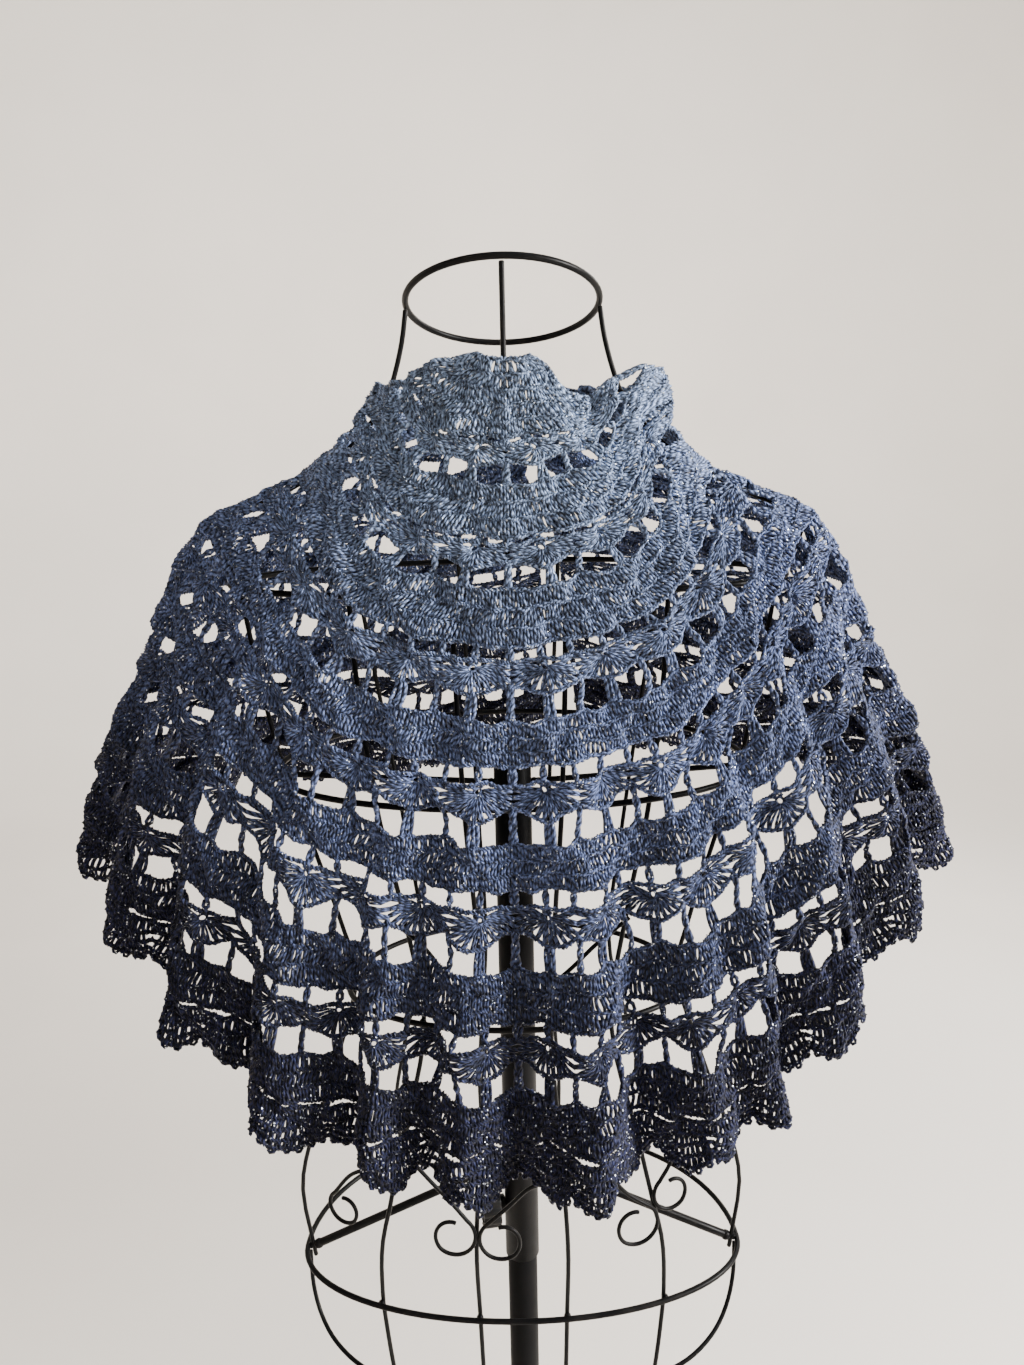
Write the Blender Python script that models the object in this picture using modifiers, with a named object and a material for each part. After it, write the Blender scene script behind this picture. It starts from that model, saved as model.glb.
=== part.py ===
"""Crocheted shawlette on a wire dress form.

Metres, +Z up. The origin is the centre of the base plate's underside, and -Y
is the side on which the middle of the shawlette hangs. Azimuth 0 is that side,
and azimuths grow towards +X.
"""

import math

import bmesh
import bpy
import numpy as np
from mathutils import Vector

# Driving dimensions

SHAWL_DEPTH = 0.464
EDGING_START = 0.4365
CLOTH_THICKNESS = 0.0018
SEAM_GAP = 0.0003
WING_END_LEFT = 187.0
WING_END_RIGHT = 168.0

BASE_RADIUS = 0.160
BASE_THICKNESS = 0.006
POLE_RADIUS = 0.011
POLE_WALL = 0.0012
POLE_TOP = 1.000
TUBE_RADIUS = 0.0125
TUBE_WALL = 0.0012
TUBE_BOTTOM = 0.7225
TUBE_TOP = 1.120
SOCKET_RADIUS = 0.020
SOCKET_BORE = 0.0118
SOCKET_HEIGHT = 0.045

RING_WIRE = 0.0020
CAGE_WIRE = 0.0016
SCROLL_WIRE = 0.0014
BRACE_WIRE = 0.0030
BUST_BRACE_WIRE = 0.0020
GAP = 0.0003

NECK_RING_RADIUS = 0.058
NECK_RING_HEIGHT = 1.400
NECK_RING_TILT = 0.31

KNOB_HEIGHT = 0.767
KNOB_AZIMUTH = -80.0
KNOB_RADIUS = 0.0155
KNOB_THICKNESS = 0.013
KNOB_RIBS = 12
SCREW_RADIUS = 0.003
SCREW_BORE = 0.0034
BOSS_RADIUS = 0.0065

# Drape of the cloth, as distance from the axis and height down each side
NEAR_DRAPE = [
    (0.0600, 1.369), (0.0650, 1.320), (0.0800, 1.266), (0.0950, 1.205),
    (0.1130, 1.140), (0.1330, 1.075), (0.1550, 1.004), (0.1750, 0.949), (0.1850, 0.918),
]
SIDE_DRAPE = [
    (0.0745, 1.352), (0.0990, 1.322), (0.1320, 1.298), (0.1900, 1.272), (0.2080, 1.246),
    (0.2300, 1.194), (0.2500, 1.154), (0.2620, 1.120), (0.2740, 1.059), (0.2780, 1.000),
]
FAR_DRAPE = [
    (0.0620, 1.352), (0.0750, 1.310), (0.1000, 1.260), (0.1300, 1.200),
    (0.1450, 1.140), (0.1520, 1.080), (0.1570, 1.020), (0.1600, 0.970),
]

# Distance by which the rows climb towards the neck, by azimuth
ROW_CLIMB_LEFT = [
    (0.0, 0.0), (20.0, 0.008), (35.0, 0.030), (45.0, 0.054), (60.0, 0.080),
    (75.0, 0.090), (90.0, 0.098), (120.0, 0.116), (150.0, 0.138), (187.0, 0.165),
]
ROW_CLIMB_RIGHT = [
    (0.0, 0.0), (20.0, 0.008), (35.0, 0.030), (45.0, 0.054), (60.0, 0.080),
    (75.0, 0.090), (90.0, 0.099), (120.0, 0.124), (150.0, 0.156), (168.0, 0.178),
]

# Neck edge: azimuth, distance pushed out and distance raised
NECK_EDGE = [
    (-187.0, 0.000, 0.000), (-120.0, 0.000, 0.000), (-84.0, 0.002, 0.003),
    (-60.0, 0.000, -0.003), (-25.0, 0.000, 0.000), (0.0, 0.000, 0.000),
    (16.0, 0.000, -0.003), (30.0, 0.001, -0.020), (37.0, 0.003, -0.019),
    (46.0, 0.011, -0.006), (58.0, 0.019, 0.003), (70.0, 0.022, 0.006),
    (84.0, 0.016, 0.001), (102.0, 0.004, -0.002), (130.0, 0.000, 0.000), (168.0, 0.000, 0.000),
]
NECK_EDGE_REACH = 0.036

# Folds at the hem: azimuth and distance out, ridges and valleys in turn
HEM_FOLDS = [
    (-187.0, 0.004), (-179.0, -0.009), (-170.0, 0.012), (-161.0, -0.010), (-152.0, 0.013),
    (-142.0, -0.011), (-133.0, 0.012), (-124.0, -0.011), (-115.0, 0.012), (-106.0, -0.010),
    (-97.0, 0.012), (-88.0, -0.009), (-78.0, 0.013), (-68.0, -0.013), (-57.0, 0.014),
    (-50.0, -0.014), (-43.0, 0.014), (-36.0, -0.015), (-28.0, 0.017), (-20.5, -0.015),
    (-16.0, 0.012), (-11.0, -0.012), (-6.0, 0.012), (0.0, -0.014), (8.0, 0.018),
    (15.0, -0.016), (21.0, 0.014), (25.5, 0.003), (29.0, 0.013), (34.0, -0.014),
    (41.0, 0.015), (49.0, -0.013), (57.0, 0.014), (66.0, -0.012), (75.0, 0.014),
    (84.0, -0.010), (93.0, 0.012), (102.0, -0.010), (111.0, 0.013), (120.0, -0.011),
    (129.0, 0.012), (138.0, -0.010), (147.0, 0.013), (156.0, -0.009), (168.0, 0.006),
]
FOLD_START = 0.30
NECK_ROW_SPACING = 0.0165
NECK_ROWS_END = 0.168
ROW_SPACING = 0.040

# Lace, by repeat: distance of its first row from the start, shells in each wing,
# and how far down the repeat its row of large holes begins and ends
START_ROW = 0.004
LACE_REPEATS = [
    (0.049, 3, 0.22, 0.45), (0.105, 6, 0.20, 0.43), (0.168, 11, 0.28, 0.56),
    (0.236, 15, 0.30, 0.57), (0.304, 18, 0.28, 0.54), (0.378, 22, 0.27, 0.57),
]
SHELL_CELLS = [("post", 0.12, False), ("hole", 0.32, True), ("tip", 0.24, False), ("hole", 0.32, True)]
REPEAT_JOIN = 0.003
EDGING_JOIN = 0.012
EDGING_SHELLS = 24
EDGING_CELLS = 3
SCALLOP_DEPTH = 0.009

# Wire cage, by height: half width, reach on the near side and on the far side
CAGE_SECTIONS = [
    (0.640, 0.142, 0.068, 0.116), (0.680, 0.150, 0.070, 0.122), (0.731, 0.1575, 0.068, 0.121),
    (0.780, 0.1625, 0.072, 0.116), (0.850, 0.145, 0.066, 0.098), (0.950, 0.113, 0.058, 0.082),
    (1.030, 0.130, 0.066, 0.100), (1.110, 0.152, 0.080, 0.126), (1.180, 0.165, 0.078, 0.112),
    (1.240, 0.172, 0.068, 0.080),
]
YOKE_HEIGHT = 1.235
BUST_HEIGHT = 1.110
WAIST_HEIGHT = 0.950
HIP_HEIGHT = 0.731
RIM_LOW = 0.658
RING_STEPS = 36

# Upright wires: azimuth of each pair, and the heights of their points
NEAR_UPRIGHTS = {"near_outer": 39.0, "near_inner": 11.0}
FAR_UPRIGHTS = {"far_outer": 141.0, "far_inner": 168.0}
UPRIGHT_HEAD = 0.004
UPRIGHT_FOOT = 0.009
UPRIGHT_HEIGHTS = (
    YOKE_HEIGHT, 1.175, BUST_HEIGHT, 1.030, 0.990, WAIST_HEIGHT,
    0.900, 0.870, 0.840, 0.810, 0.780, 0.755, HIP_HEIGHT,
)
SIDE_WIRE_HEIGHTS = (
    YOKE_HEIGHT, 1.210, 1.150, 1.106, 1.050, 0.990, WAIST_HEIGHT,
    0.880, 0.820, 0.780, 0.7325, 0.722,
)

# The wires over the shoulders: distance from the middle and height
SHOULDER_WIRE = [
    (0.0582, NECK_RING_HEIGHT - RING_WIRE - 2 * GAP), (0.0612, 1.379), (0.0665, 1.360),
    (0.0725, 1.345), (0.0840, 1.330), (0.1000, 1.314), (0.1190, 1.3015), (0.1480, 1.2870),
    (0.1700, 1.2775), (0.1850, 1.2690), (0.1840, 1.2560), (0.1770, 1.2450),
]

# The wires from the neck ring to the yoke ring in the middle: place on Y and height
CENTRE_WIRES = {
    "centre_wire_near": [
        (-0.0580, 1.4154), (-0.0573, 1.395), (-0.0569, 1.368), (-0.0600, 1.315), (-0.0690, 1.229),
    ],
    "centre_wire_far": [
        (0.0580, 1.3794), (0.0562, 1.360), (0.0600, 1.320), (0.0720, 1.270), (0.0812, 1.231),
    ],
}

# The lower rim: distance from the middle, set back from the cage and height
RIM_HALF = [
    (0.0, 0.0, RIM_LOW), (0.030, 0.001, 0.6585), (0.060, 0.004, 0.6605), (0.092, 0.012, 0.6640),
    (0.118, 0.022, 0.6680), (0.138, 0.036, 0.6745), (0.151, 0.050, 0.6850), (0.158, 0.060, 0.7040),
    (0.1605, 0.0695, 0.7265),
]

COLOURS = {
    "yarn_light": (0.150, 0.235, 0.400, 1.0),
    "yarn_dark": (0.018, 0.028, 0.085, 1.0),
    "wire": (0.008, 0.008, 0.009, 1.0),
    "steel_tube": (0.010, 0.010, 0.011, 1.0),
    "base": (0.010, 0.010, 0.011, 1.0),
    "knob": (0.014, 0.014, 0.015, 1.0),
}


def clear_scene():
    for item in list(bpy.data.objects):
        bpy.data.objects.remove(item)


def make_collection(name):
    collection = bpy.data.collections.new(name)
    bpy.context.scene.collection.children.link(collection)
    return collection


def make_material(name, colour, roughness, metallic):
    material = bpy.data.materials.new(name)
    material.use_nodes = True
    shader = material.node_tree.nodes["Principled BSDF"]
    shader.inputs["Base Color"].default_value = colour
    shader.inputs["Roughness"].default_value = roughness
    shader.inputs["Metallic"].default_value = metallic
    return material


def smooth_table(knots, values):
    """A smooth curve through a table, which turns level at each peak and dip."""
    knots = np.asarray(knots, dtype=float)
    values = np.asarray(values, dtype=float)
    widths = np.diff(knots)
    rises = np.diff(values) / widths
    slopes = np.zeros(len(knots))
    slopes[0] = rises[0]
    slopes[-1] = rises[-1]
    total = rises[:-1] + rises[1:]
    same_way = rises[:-1] * rises[1:] > 0
    safe_total = np.where(same_way, total, 1.0)
    slopes[1:-1] = np.where(same_way, 2 * rises[:-1] * rises[1:] / safe_total, 0.0)

    def value_at(x):
        x = np.clip(x, knots[0], knots[-1])
        i = np.clip(np.searchsorted(knots, x, side="right") - 1, 0, len(widths) - 1)
        h = widths[i]
        s = (x - knots[i]) / h
        start = values[i] * (1 + 2 * s) * (1 - s) ** 2 + slopes[i] * h * s * (1 - s) ** 2
        end = values[i + 1] * s * s * (3 - 2 * s) + slopes[i + 1] * h * s * s * (s - 1)
        return start + end

    return value_at


def drape_profile(points):
    """Distance and height of a drape line, by the length of cloth down it."""
    points = np.asarray(points)
    chords = np.concatenate([[0.0], np.cumsum(np.hypot(*np.diff(points, axis=0).T))])
    return smooth_table(chords, points[:, 0]), smooth_table(chords, points[:, 1])


NEAR = drape_profile(NEAR_DRAPE)
SIDE = drape_profile(SIDE_DRAPE)
FAR = drape_profile(FAR_DRAPE)
CLIMB = {
    -1: smooth_table(*zip(*ROW_CLIMB_LEFT)),
    1: smooth_table(*zip(*ROW_CLIMB_RIGHT)),
}
WING_END = {-1: WING_END_LEFT, 1: WING_END_RIGHT}
NECK_OUT = smooth_table([row[0] for row in NECK_EDGE], [row[1] for row in NECK_EDGE])
NECK_UP = smooth_table([row[0] for row in NECK_EDGE], [row[2] for row in NECK_EDGE])
FOLD = smooth_table(*zip(*HEM_FOLDS))


def cloth_point(azimuth, down, side):
    """Middle of the cloth at an azimuth in degrees and a length below the neck edge."""
    angle = np.radians(azimuth)
    sine, cosine = np.sin(angle), np.cos(angle)
    front = cosine > 0
    reach_side, height_side = SIDE[0](down), SIDE[1](down)
    reach_middle = np.where(front, NEAR[0](down), FAR[0](down))
    height_middle = np.where(front, NEAR[1](down), FAR[1](down))
    x = reach_side * sine
    y = -reach_middle * cosine
    z = height_side * sine ** 2 + height_middle * cosine ** 2
    hem_length = SHAWL_DEPTH - CLIMB[side](np.abs(azimuth))
    share = np.clip((down / hem_length - FOLD_START) / (1 - FOLD_START), 0.0, 1.2)
    fold = FOLD(azimuth) * share ** 1.35
    edge = np.exp(-(down / NECK_EDGE_REACH) ** 2)
    out = (fold + NECK_OUT(azimuth) * edge) / np.hypot(x, y)
    return np.stack([x * (1 + out), y * (1 + out), z + NECK_UP(azimuth) * edge], axis=-1)


def row_end(distance, side):
    """Azimuth, in degrees from the middle, where a row meets the neck edge or the wing's end."""
    azimuths = np.linspace(0.0, WING_END[side], 721)
    return float(np.interp(distance, CLIMB[side](azimuths), azimuths))


def row_points(distance, side, shares, samples=900):
    """Points on the row at a distance from the start, at shares of its length."""
    azimuths = np.linspace(0.0, row_end(distance, side), samples)
    down = np.maximum(distance - CLIMB[side](azimuths), 0.0)
    points = cloth_point(side * azimuths, down, side)
    lengths = np.concatenate([[0.0], np.cumsum(np.linalg.norm(np.diff(points, axis=0), axis=1))])
    wanted = np.asarray(shares) * lengths[-1]
    return np.stack([np.interp(wanted, lengths, points[:, i]) for i in range(3)], axis=-1)


def shell_shares(shells):
    """Shares along a row of the edges of each shell's post, holes and tip."""
    widths = [width for _ in range(shells) for _, width, _ in SHELL_CELLS]
    return np.concatenate([[0.0], np.cumsum(widths)]) / shells


def even_shares(cells):
    return np.linspace(0.0, 1.0, cells + 1)


class LaceSheet:
    """An open sheet made of rows of points, with cells left out as holes."""

    def __init__(self, side):
        self.side = side
        self.mesh = bmesh.new()
        self.row = []
        self.shares = []
        self.distance = 0.0

    def start_at(self, distance, shares):
        self.shares = np.asarray(shares)
        self.row = [self.mesh.verts.new(p) for p in row_points(distance, self.side, shares)]
        self.distance = distance

    def cells_to(self, distance, is_open=None):
        """Carry the same columns down to a new row. A cell is left out where it is open."""
        below = [self.mesh.verts.new(p) for p in row_points(distance, self.side, self.shares)]
        for i in range(len(below) - 1):
            if is_open is None or not is_open(i):
                self.mesh.faces.new((self.row[i], self.row[i + 1], below[i + 1], below[i]))
        self.row, self.distance = below, distance

    def plain_to(self, distance):
        """Solid rows down to a distance, close together where the neck edge curves."""
        spacing = NECK_ROW_SPACING if self.distance < NECK_ROWS_END else ROW_SPACING
        start = self.distance
        steps = max(1, math.ceil((distance - start) / spacing))
        for step in range(1, steps + 1):
            self.cells_to(start + (distance - start) * step / steps)

    def loft_to(self, distance, shares):
        """Join the last row to a row with other columns, with a strip of triangles."""
        below = [self.mesh.verts.new(p) for p in row_points(distance, self.side, shares)]
        i, j = 0, 0
        while i < len(self.row) - 1 or j < len(below) - 1:
            upper_next = self.shares[i + 1] if i < len(self.row) - 1 else 2.0
            lower_next = shares[j + 1] if j < len(below) - 1 else 2.0
            if upper_next <= lower_next:
                self.mesh.faces.new((self.row[i], self.row[i + 1], below[j]))
                i += 1
            else:
                self.mesh.faces.new((self.row[i], below[j + 1], below[j]))
                j += 1
        self.row, self.shares, self.distance = below, np.asarray(shares), distance

    def scallops_to(self, distance, depth, cells):
        """A last row whose points hang lower at the middle of each scallop."""
        shares = self.shares
        deepest = row_points(distance, self.side, shares)
        highest = row_points(distance - depth, self.side, shares)
        below = []
        for i in range(len(shares)):
            hang = math.sin(math.pi * (i % cells) / cells) ** 0.7
            below.append(self.mesh.verts.new(highest[i] * (1 - hang) + deepest[i] * hang))
        for i in range(len(below) - 1):
            self.mesh.faces.new((self.row[i], self.row[i + 1], below[i + 1], below[i]))
        self.row = below


def finish_cloth(name, sheet, material, collection):
    """Give the sheet its thickness, and keep its wing on its own side of the middle."""
    loose = [v for v in sheet.mesh.verts if not v.link_faces]
    bmesh.ops.delete(sheet.mesh, geom=loose, context="VERTS")
    if sheet.side > 0:
        bmesh.ops.reverse_faces(sheet.mesh, faces=sheet.mesh.faces[:])
    open_mesh = bpy.data.meshes.new(name + "_sheet")
    sheet.mesh.to_mesh(open_mesh)
    sheet.mesh.free()
    guide = bpy.data.objects.new(name + "_sheet", open_mesh)
    collection.objects.link(guide)
    wall = guide.modifiers.new("wall", "SOLIDIFY")
    wall.thickness = CLOTH_THICKNESS
    wall.offset = 0.0
    bpy.context.view_layer.update()
    evaluated = guide.evaluated_get(bpy.context.evaluated_depsgraph_get())
    mesh = bpy.data.meshes.new_from_object(evaluated)
    mesh.name = name
    bpy.data.objects.remove(guide)
    half_gap = 0.5 * SEAM_GAP
    for vertex in mesh.vertices:
        near_middle = vertex.co.y < 0 and abs(vertex.co.x) < 4 * CLOTH_THICKNESS
        if near_middle and vertex.co.x * sheet.side < half_gap:
            vertex.co.x = half_gap * sheet.side
    mesh.materials.clear()
    mesh.materials.append(material)
    mesh.shade_smooth()
    mesh.set_sharp_from_angle(angle=math.radians(50))
    thing = bpy.data.objects.new(name, mesh)
    collection.objects.link(thing)
    return thing


def make_shawl_wing(name, side, material, collection):
    """One wing of the lace from the start at the neck to the row above the edging."""
    sheet = LaceSheet(side)
    first_shells = LACE_REPEATS[0][1]
    sheet.start_at(START_ROW, even_shares(first_shells))
    sheet.plain_to(LACE_REPEATS[0][0])
    first_rows = [repeat[0] for repeat in LACE_REPEATS] + [EDGING_START]
    for number, (first_row, shells, holes_from, holes_to) in enumerate(LACE_REPEATS):
        next_row = first_rows[number + 1]
        length = next_row - first_row
        columns = shell_shares(shells)
        if first_row < NECK_ROWS_END:
            sheet.loft_to(first_row, columns)
            sheet.plain_to(first_row + holes_from * length)
        else:
            sheet.loft_to(first_row + holes_from * length, columns)
        sheet.cells_to(first_row + holes_to * length, lambda i: SHELL_CELLS[i % 4][2])
        sheet.plain_to(next_row - (EDGING_JOIN if next_row == EDGING_START else REPEAT_JOIN))
    sheet.loft_to(EDGING_START - 3 * SEAM_GAP, even_shares(EDGING_CELLS * EDGING_SHELLS))
    return finish_cloth(name, sheet, material, collection)


def make_edging(name, side, material, collection):
    """The scalloped edging of one wing, worked on after the lace."""
    sheet = LaceSheet(side)
    sheet.start_at(EDGING_START, even_shares(EDGING_CELLS * EDGING_SHELLS))
    sheet.scallops_to(SHAWL_DEPTH, SCALLOP_DEPTH, EDGING_CELLS)
    return finish_cloth(name, sheet, material, collection)


def cage_shape():
    heights = [row[0] for row in CAGE_SECTIONS]
    return [smooth_table(heights, [row[i] for row in CAGE_SECTIONS]) for i in (1, 2, 3)]


CAGE = cage_shape()


def cage_point(azimuth, height, out=0.0):
    """A point on the wire cage, or a distance outside it."""
    angle = math.radians(azimuth)
    reach = CAGE[1] if math.cos(angle) > 0 else CAGE[2]
    half_width, depth = float(CAGE[0](height)), float(reach(height))
    outward = Vector((math.sin(angle) / half_width, -math.cos(angle) / depth, 0.0)).normalized()
    on_cage = Vector((half_width * math.sin(angle), -depth * math.cos(angle), height))
    return on_cage + out * outward


def smooth_route(points, steps):
    """Points of a smooth curve through a few hand-set ones."""
    ends = [2 * points[0] - points[1]] + list(points) + [2 * points[-1] - points[-2]]
    route = []
    for a, b, c, d in zip(ends, ends[1:], ends[2:], ends[3:]):
        for step in range(steps):
            s = step / steps
            curve = 2 * b + (c - a) * s + (2 * a - 5 * b + 4 * c - d) * s ** 2
            route.append(0.5 * (curve + (3 * b - a - 3 * c + d) * s ** 3))
    route.append(points[-1])
    return route


def make_wire(name, points, radius, material, collection, sides=6, closed=False):
    curve = bpy.data.curves.new(name, "CURVE")
    curve.dimensions = "3D"
    curve.bevel_depth = radius
    curve.bevel_resolution = (sides - 4) // 2
    curve.use_fill_caps = not closed
    spline = curve.splines.new("POLY")
    spline.points.add(len(points) - 1)
    for spot, point in zip(spline.points, points):
        spot.co = (*point, 1.0)
    spline.use_cyclic_u = closed
    curve.materials.append(material)
    wire = bpy.data.objects.new(name, curve)
    collection.objects.link(wire)
    return wire


def make_cage_ring(name, height, material, collection, sides, steps=RING_STEPS):
    """A level ring round the outside of the upright wires."""
    out = CAGE_WIRE + RING_WIRE + 3 * GAP
    points = [cage_point(360.0 * i / steps, height, out) for i in range(steps)]
    return make_wire(name, points, RING_WIRE, material, collection, sides, closed=True)


def make_neck_ring(material, collection, steps=36):
    points = []
    for i in range(steps):
        angle = 2 * math.pi * i / steps
        y = -NECK_RING_RADIUS * math.cos(angle)
        height = NECK_RING_HEIGHT - NECK_RING_TILT * y
        points.append(Vector((NECK_RING_RADIUS * math.sin(angle), y, height)))
    return make_wire("neck_ring", points, RING_WIRE, material, collection, 6, closed=True)


def make_uprights(material, collection):
    """Upright wires from the yoke ring down to the rim on the near side and the hip ring."""
    for label, azimuth in {**NEAR_UPRIGHTS, **FAR_UPRIGHTS}.items():
        near = label in NEAR_UPRIGHTS
        low = rim_height(azimuth) + 2 * CAGE_WIRE + GAP if near else HIP_HEIGHT - UPRIGHT_FOOT
        heights = [YOKE_HEIGHT + UPRIGHT_HEAD, *UPRIGHT_HEIGHTS, low]
        inward = 1.0 if label == "near_outer" else 0.0
        for side, word in ((-1, "left"), (1, "right")):
            points = [cage_point(side * (azimuth - inward * lean(height)), height) for height in heights]
            name = f"upright_{label}_{word}"
            make_wire(name, points, CAGE_WIRE, material, collection, 6 if near else 4)


def lean(height):
    """Degrees by which the outer near uprights turn inwards above the hips."""
    return float(np.interp(height, (HIP_HEIGHT, 0.810, WAIST_HEIGHT), (0.0, 4.0, 6.0)))


def make_side_wires(material, collection):
    """The wires over the shoulders, from the neck ring to the hip ring."""
    for side, word in ((-1, "left"), (1, "right")):
        points = [Vector((side * x, 0.0, z)) for x, z in SHOULDER_WIRE]
        points += [cage_point(side * 90.0, height) for height in SIDE_WIRE_HEIGHTS]
        make_wire(f"side_wire_{word}", points, CAGE_WIRE, material, collection, 6)


def make_centre_wires(material, collection):
    for name, rows in CENTRE_WIRES.items():
        route = smooth_route([Vector((0.0, y, z)) for y, z in rows], 2)
        make_wire(name, route, CAGE_WIRE, material, collection, 6)


def rim_height(azimuth):
    """Height of the lower rim where the upright at an azimuth stands on it."""
    across = abs(cage_point(azimuth, RIM_LOW + 0.006).x)
    return float(np.interp(across, [row[0] for row in RIM_HALF], [row[2] for row in RIM_HALF]))


def make_rim(material, collection):
    """The lower rim on the near side, which dips from the sides of the hip ring."""
    reach = float(CAGE[1](RIM_LOW))
    right = [Vector((x, -reach + back, z)) for x, back, z in RIM_HALF]
    left = [Vector((-p.x, p.y, p.z)) for p in reversed(right[1:])]
    make_wire("lower_rim", left + right, CAGE_WIRE, material, collection, 6)


# Braces: name, radius, sides, height at the tube, height at the side wire, and the
# room that its slanted ends take at the tube and at the side wire
BRACES = [
    ("hip_brace", BRACE_WIRE, 8, 0.800, 0.7325, 0.0015, 0.0022),
    ("bust_brace", BUST_BRACE_WIRE, 6, 1.098, 1.106, 0.0003, 0.0006),
]


def make_braces(material, collection):
    """Struts from the tube to the side wires, at the hip ring and at the bust ring."""
    face = TUBE_RADIUS + GAP
    for name, radius, sides, inner, outer, inner_room, outer_room in BRACES:
        reach = float(CAGE[0](outer)) - CAGE_WIRE - GAP - outer_room
        for side, word in ((-1, "left"), (1, "right")):
            ends = [
                Vector((side * (face + inner_room), 0.0, inner)),
                Vector((side * reach, 0.0, outer)),
            ]
            make_wire(f"{name}_{word}", ends, radius, material, collection, sides)


# Scrolls on the near side: centre across and up, radius, angle at the inner end, sweep,
# and the points that the tail runs through
SCROLLS = [
    ("scroll_left_outer", (-0.0462, 0.802), 0.0145, 80.0, 330.0,
     [(-0.048, 0.826), (-0.064, 0.842), (-0.077, 0.856), (-0.080, 0.868), (-0.074, 0.878)]),
    ("scroll_left_inner", (-0.0144, 0.800), 0.0145, 100.0, -330.0,
     [(-0.009, 0.824), (0.004, 0.836), (0.016, 0.841)]),
    ("scroll_right_inner", (0.0789, 0.802), 0.0145, 80.0, 330.0,
     [(0.072, 0.826), (0.060, 0.840), (0.048, 0.846)]),
    ("scroll_right_outer", (0.1030, 0.820), 0.0120, 100.0, -330.0,
     [(0.104, 0.842), (0.109, 0.862), (0.104, 0.874)]),
    ("scroll_left_side", (-0.124, 0.806), 0.0105, 100.0, -330.0,
     [(-0.119, 0.830), (-0.107, 0.838), (-0.094, 0.843), (-0.0825, 0.846)]),
    ("scroll_waist_left", (-0.050, 0.972), 0.0110, 80.0, 330.0,
     [(-0.048, 0.992), (-0.060, 1.010), (-0.074, 1.022)]),
    ("scroll_waist_right", (0.030, 0.974), 0.0110, 100.0, -330.0,
     [(0.036, 0.994), (0.052, 1.010), (0.073, 1.026)]),
]


def near_cage_point(across, height, out):
    """A point outside the cage's near side, from its place across and its height."""
    sine = max(-1.0, min(1.0, across / (float(CAGE[0](height)) + out)))
    return cage_point(math.degrees(math.asin(sine)), height, out)


def make_scrolls(material, collection, steps=11):
    """Curled wires on the outside of the near uprights."""
    out = CAGE_WIRE + SCROLL_WIRE + 2 * GAP
    for name, (cx, cz), radius, first, sweep, tail in SCROLLS:
        flat = []
        for i in range(steps + 1):
            share = i / steps
            angle = math.radians(first + sweep * share)
            r = radius * (0.62 + 0.38 * min(1.0, 2.2 * share))
            flat.append(Vector((cx + r * math.cos(angle), cz + r * math.sin(angle), 0.0)))
        tail_points = [flat[-1]] + [Vector((x, z, 0.0)) for x, z in tail]
        flat += smooth_route(tail_points, 2)[1:]
        points = [near_cage_point(p.x, p.y, out) for p in flat]
        sides = 4 if cz > WAIST_HEIGHT else 6
        make_wire(name, points, SCROLL_WIRE, material, collection, sides)


def make_pipe(name, outer, wall, bottom, top, material, collection, sides=16):
    """An open pipe: the side of a cylinder with a wall."""
    mesh_data = bmesh.new()
    bmesh.ops.create_cone(
        mesh_data, cap_ends=False, segments=sides, radius1=outer, radius2=outer, depth=top - bottom
    )
    mesh = bpy.data.meshes.new(name)
    mesh_data.to_mesh(mesh)
    mesh_data.free()
    mesh.materials.append(material)
    mesh.shade_smooth()
    mesh.set_sharp_from_angle(angle=math.radians(40))
    pipe = bpy.data.objects.new(name, mesh)
    pipe.location = (0.0, 0.0, 0.5 * (bottom + top))
    collection.objects.link(pipe)
    thickness = pipe.modifiers.new("wall", "SOLIDIFY")
    thickness.thickness = wall
    thickness.offset = -1.0
    return pipe


def make_disc(name, radius, bottom, thickness, edge, material, collection, sides):
    """A round plate with rounded edges."""
    mesh_data = bmesh.new()
    bmesh.ops.create_cone(
        mesh_data, cap_ends=True, segments=sides, radius1=radius, radius2=radius, depth=thickness
    )
    mesh = bpy.data.meshes.new(name)
    mesh_data.to_mesh(mesh)
    mesh_data.free()
    mesh.materials.append(material)
    mesh.shade_smooth()
    mesh.set_sharp_from_angle(angle=math.radians(50))
    disc = bpy.data.objects.new(name, mesh)
    disc.location = (0.0, 0.0, bottom + 0.5 * thickness)
    collection.objects.link(disc)
    rounding = disc.modifiers.new("edge", "BEVEL")
    rounding.width = edge
    rounding.segments = 1
    rounding.limit_method = "ANGLE"
    rounding.angle_limit = math.radians(50)
    return disc


def make_stand(materials, collection):
    make_disc(
        "base_plate", BASE_RADIUS, 0.0, BASE_THICKNESS, 0.0018, materials["base"], collection, 40
    )
    socket_wall = SOCKET_RADIUS - SOCKET_BORE
    make_pipe(
        "base_socket", SOCKET_RADIUS, socket_wall, BASE_THICKNESS + GAP,
        BASE_THICKNESS + SOCKET_HEIGHT, materials["base"], collection, 24,
    )
    make_pipe(
        "pole", POLE_RADIUS, POLE_WALL, BASE_THICKNESS + GAP, POLE_TOP,
        materials["steel_tube"], collection,
    )
    tube = make_pipe(
        "tube", TUBE_RADIUS, TUBE_WALL, TUBE_BOTTOM, TUBE_TOP, materials["steel_tube"], collection
    )
    make_disc(
        "tube_cap", TUBE_RADIUS, TUBE_TOP + GAP, 0.004, 0.0012, materials["knob"], collection, 16
    )
    return tube


def knob_direction():
    angle = math.radians(KNOB_AZIMUTH)
    return Vector((math.sin(angle), -math.cos(angle), 0.0))


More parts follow.
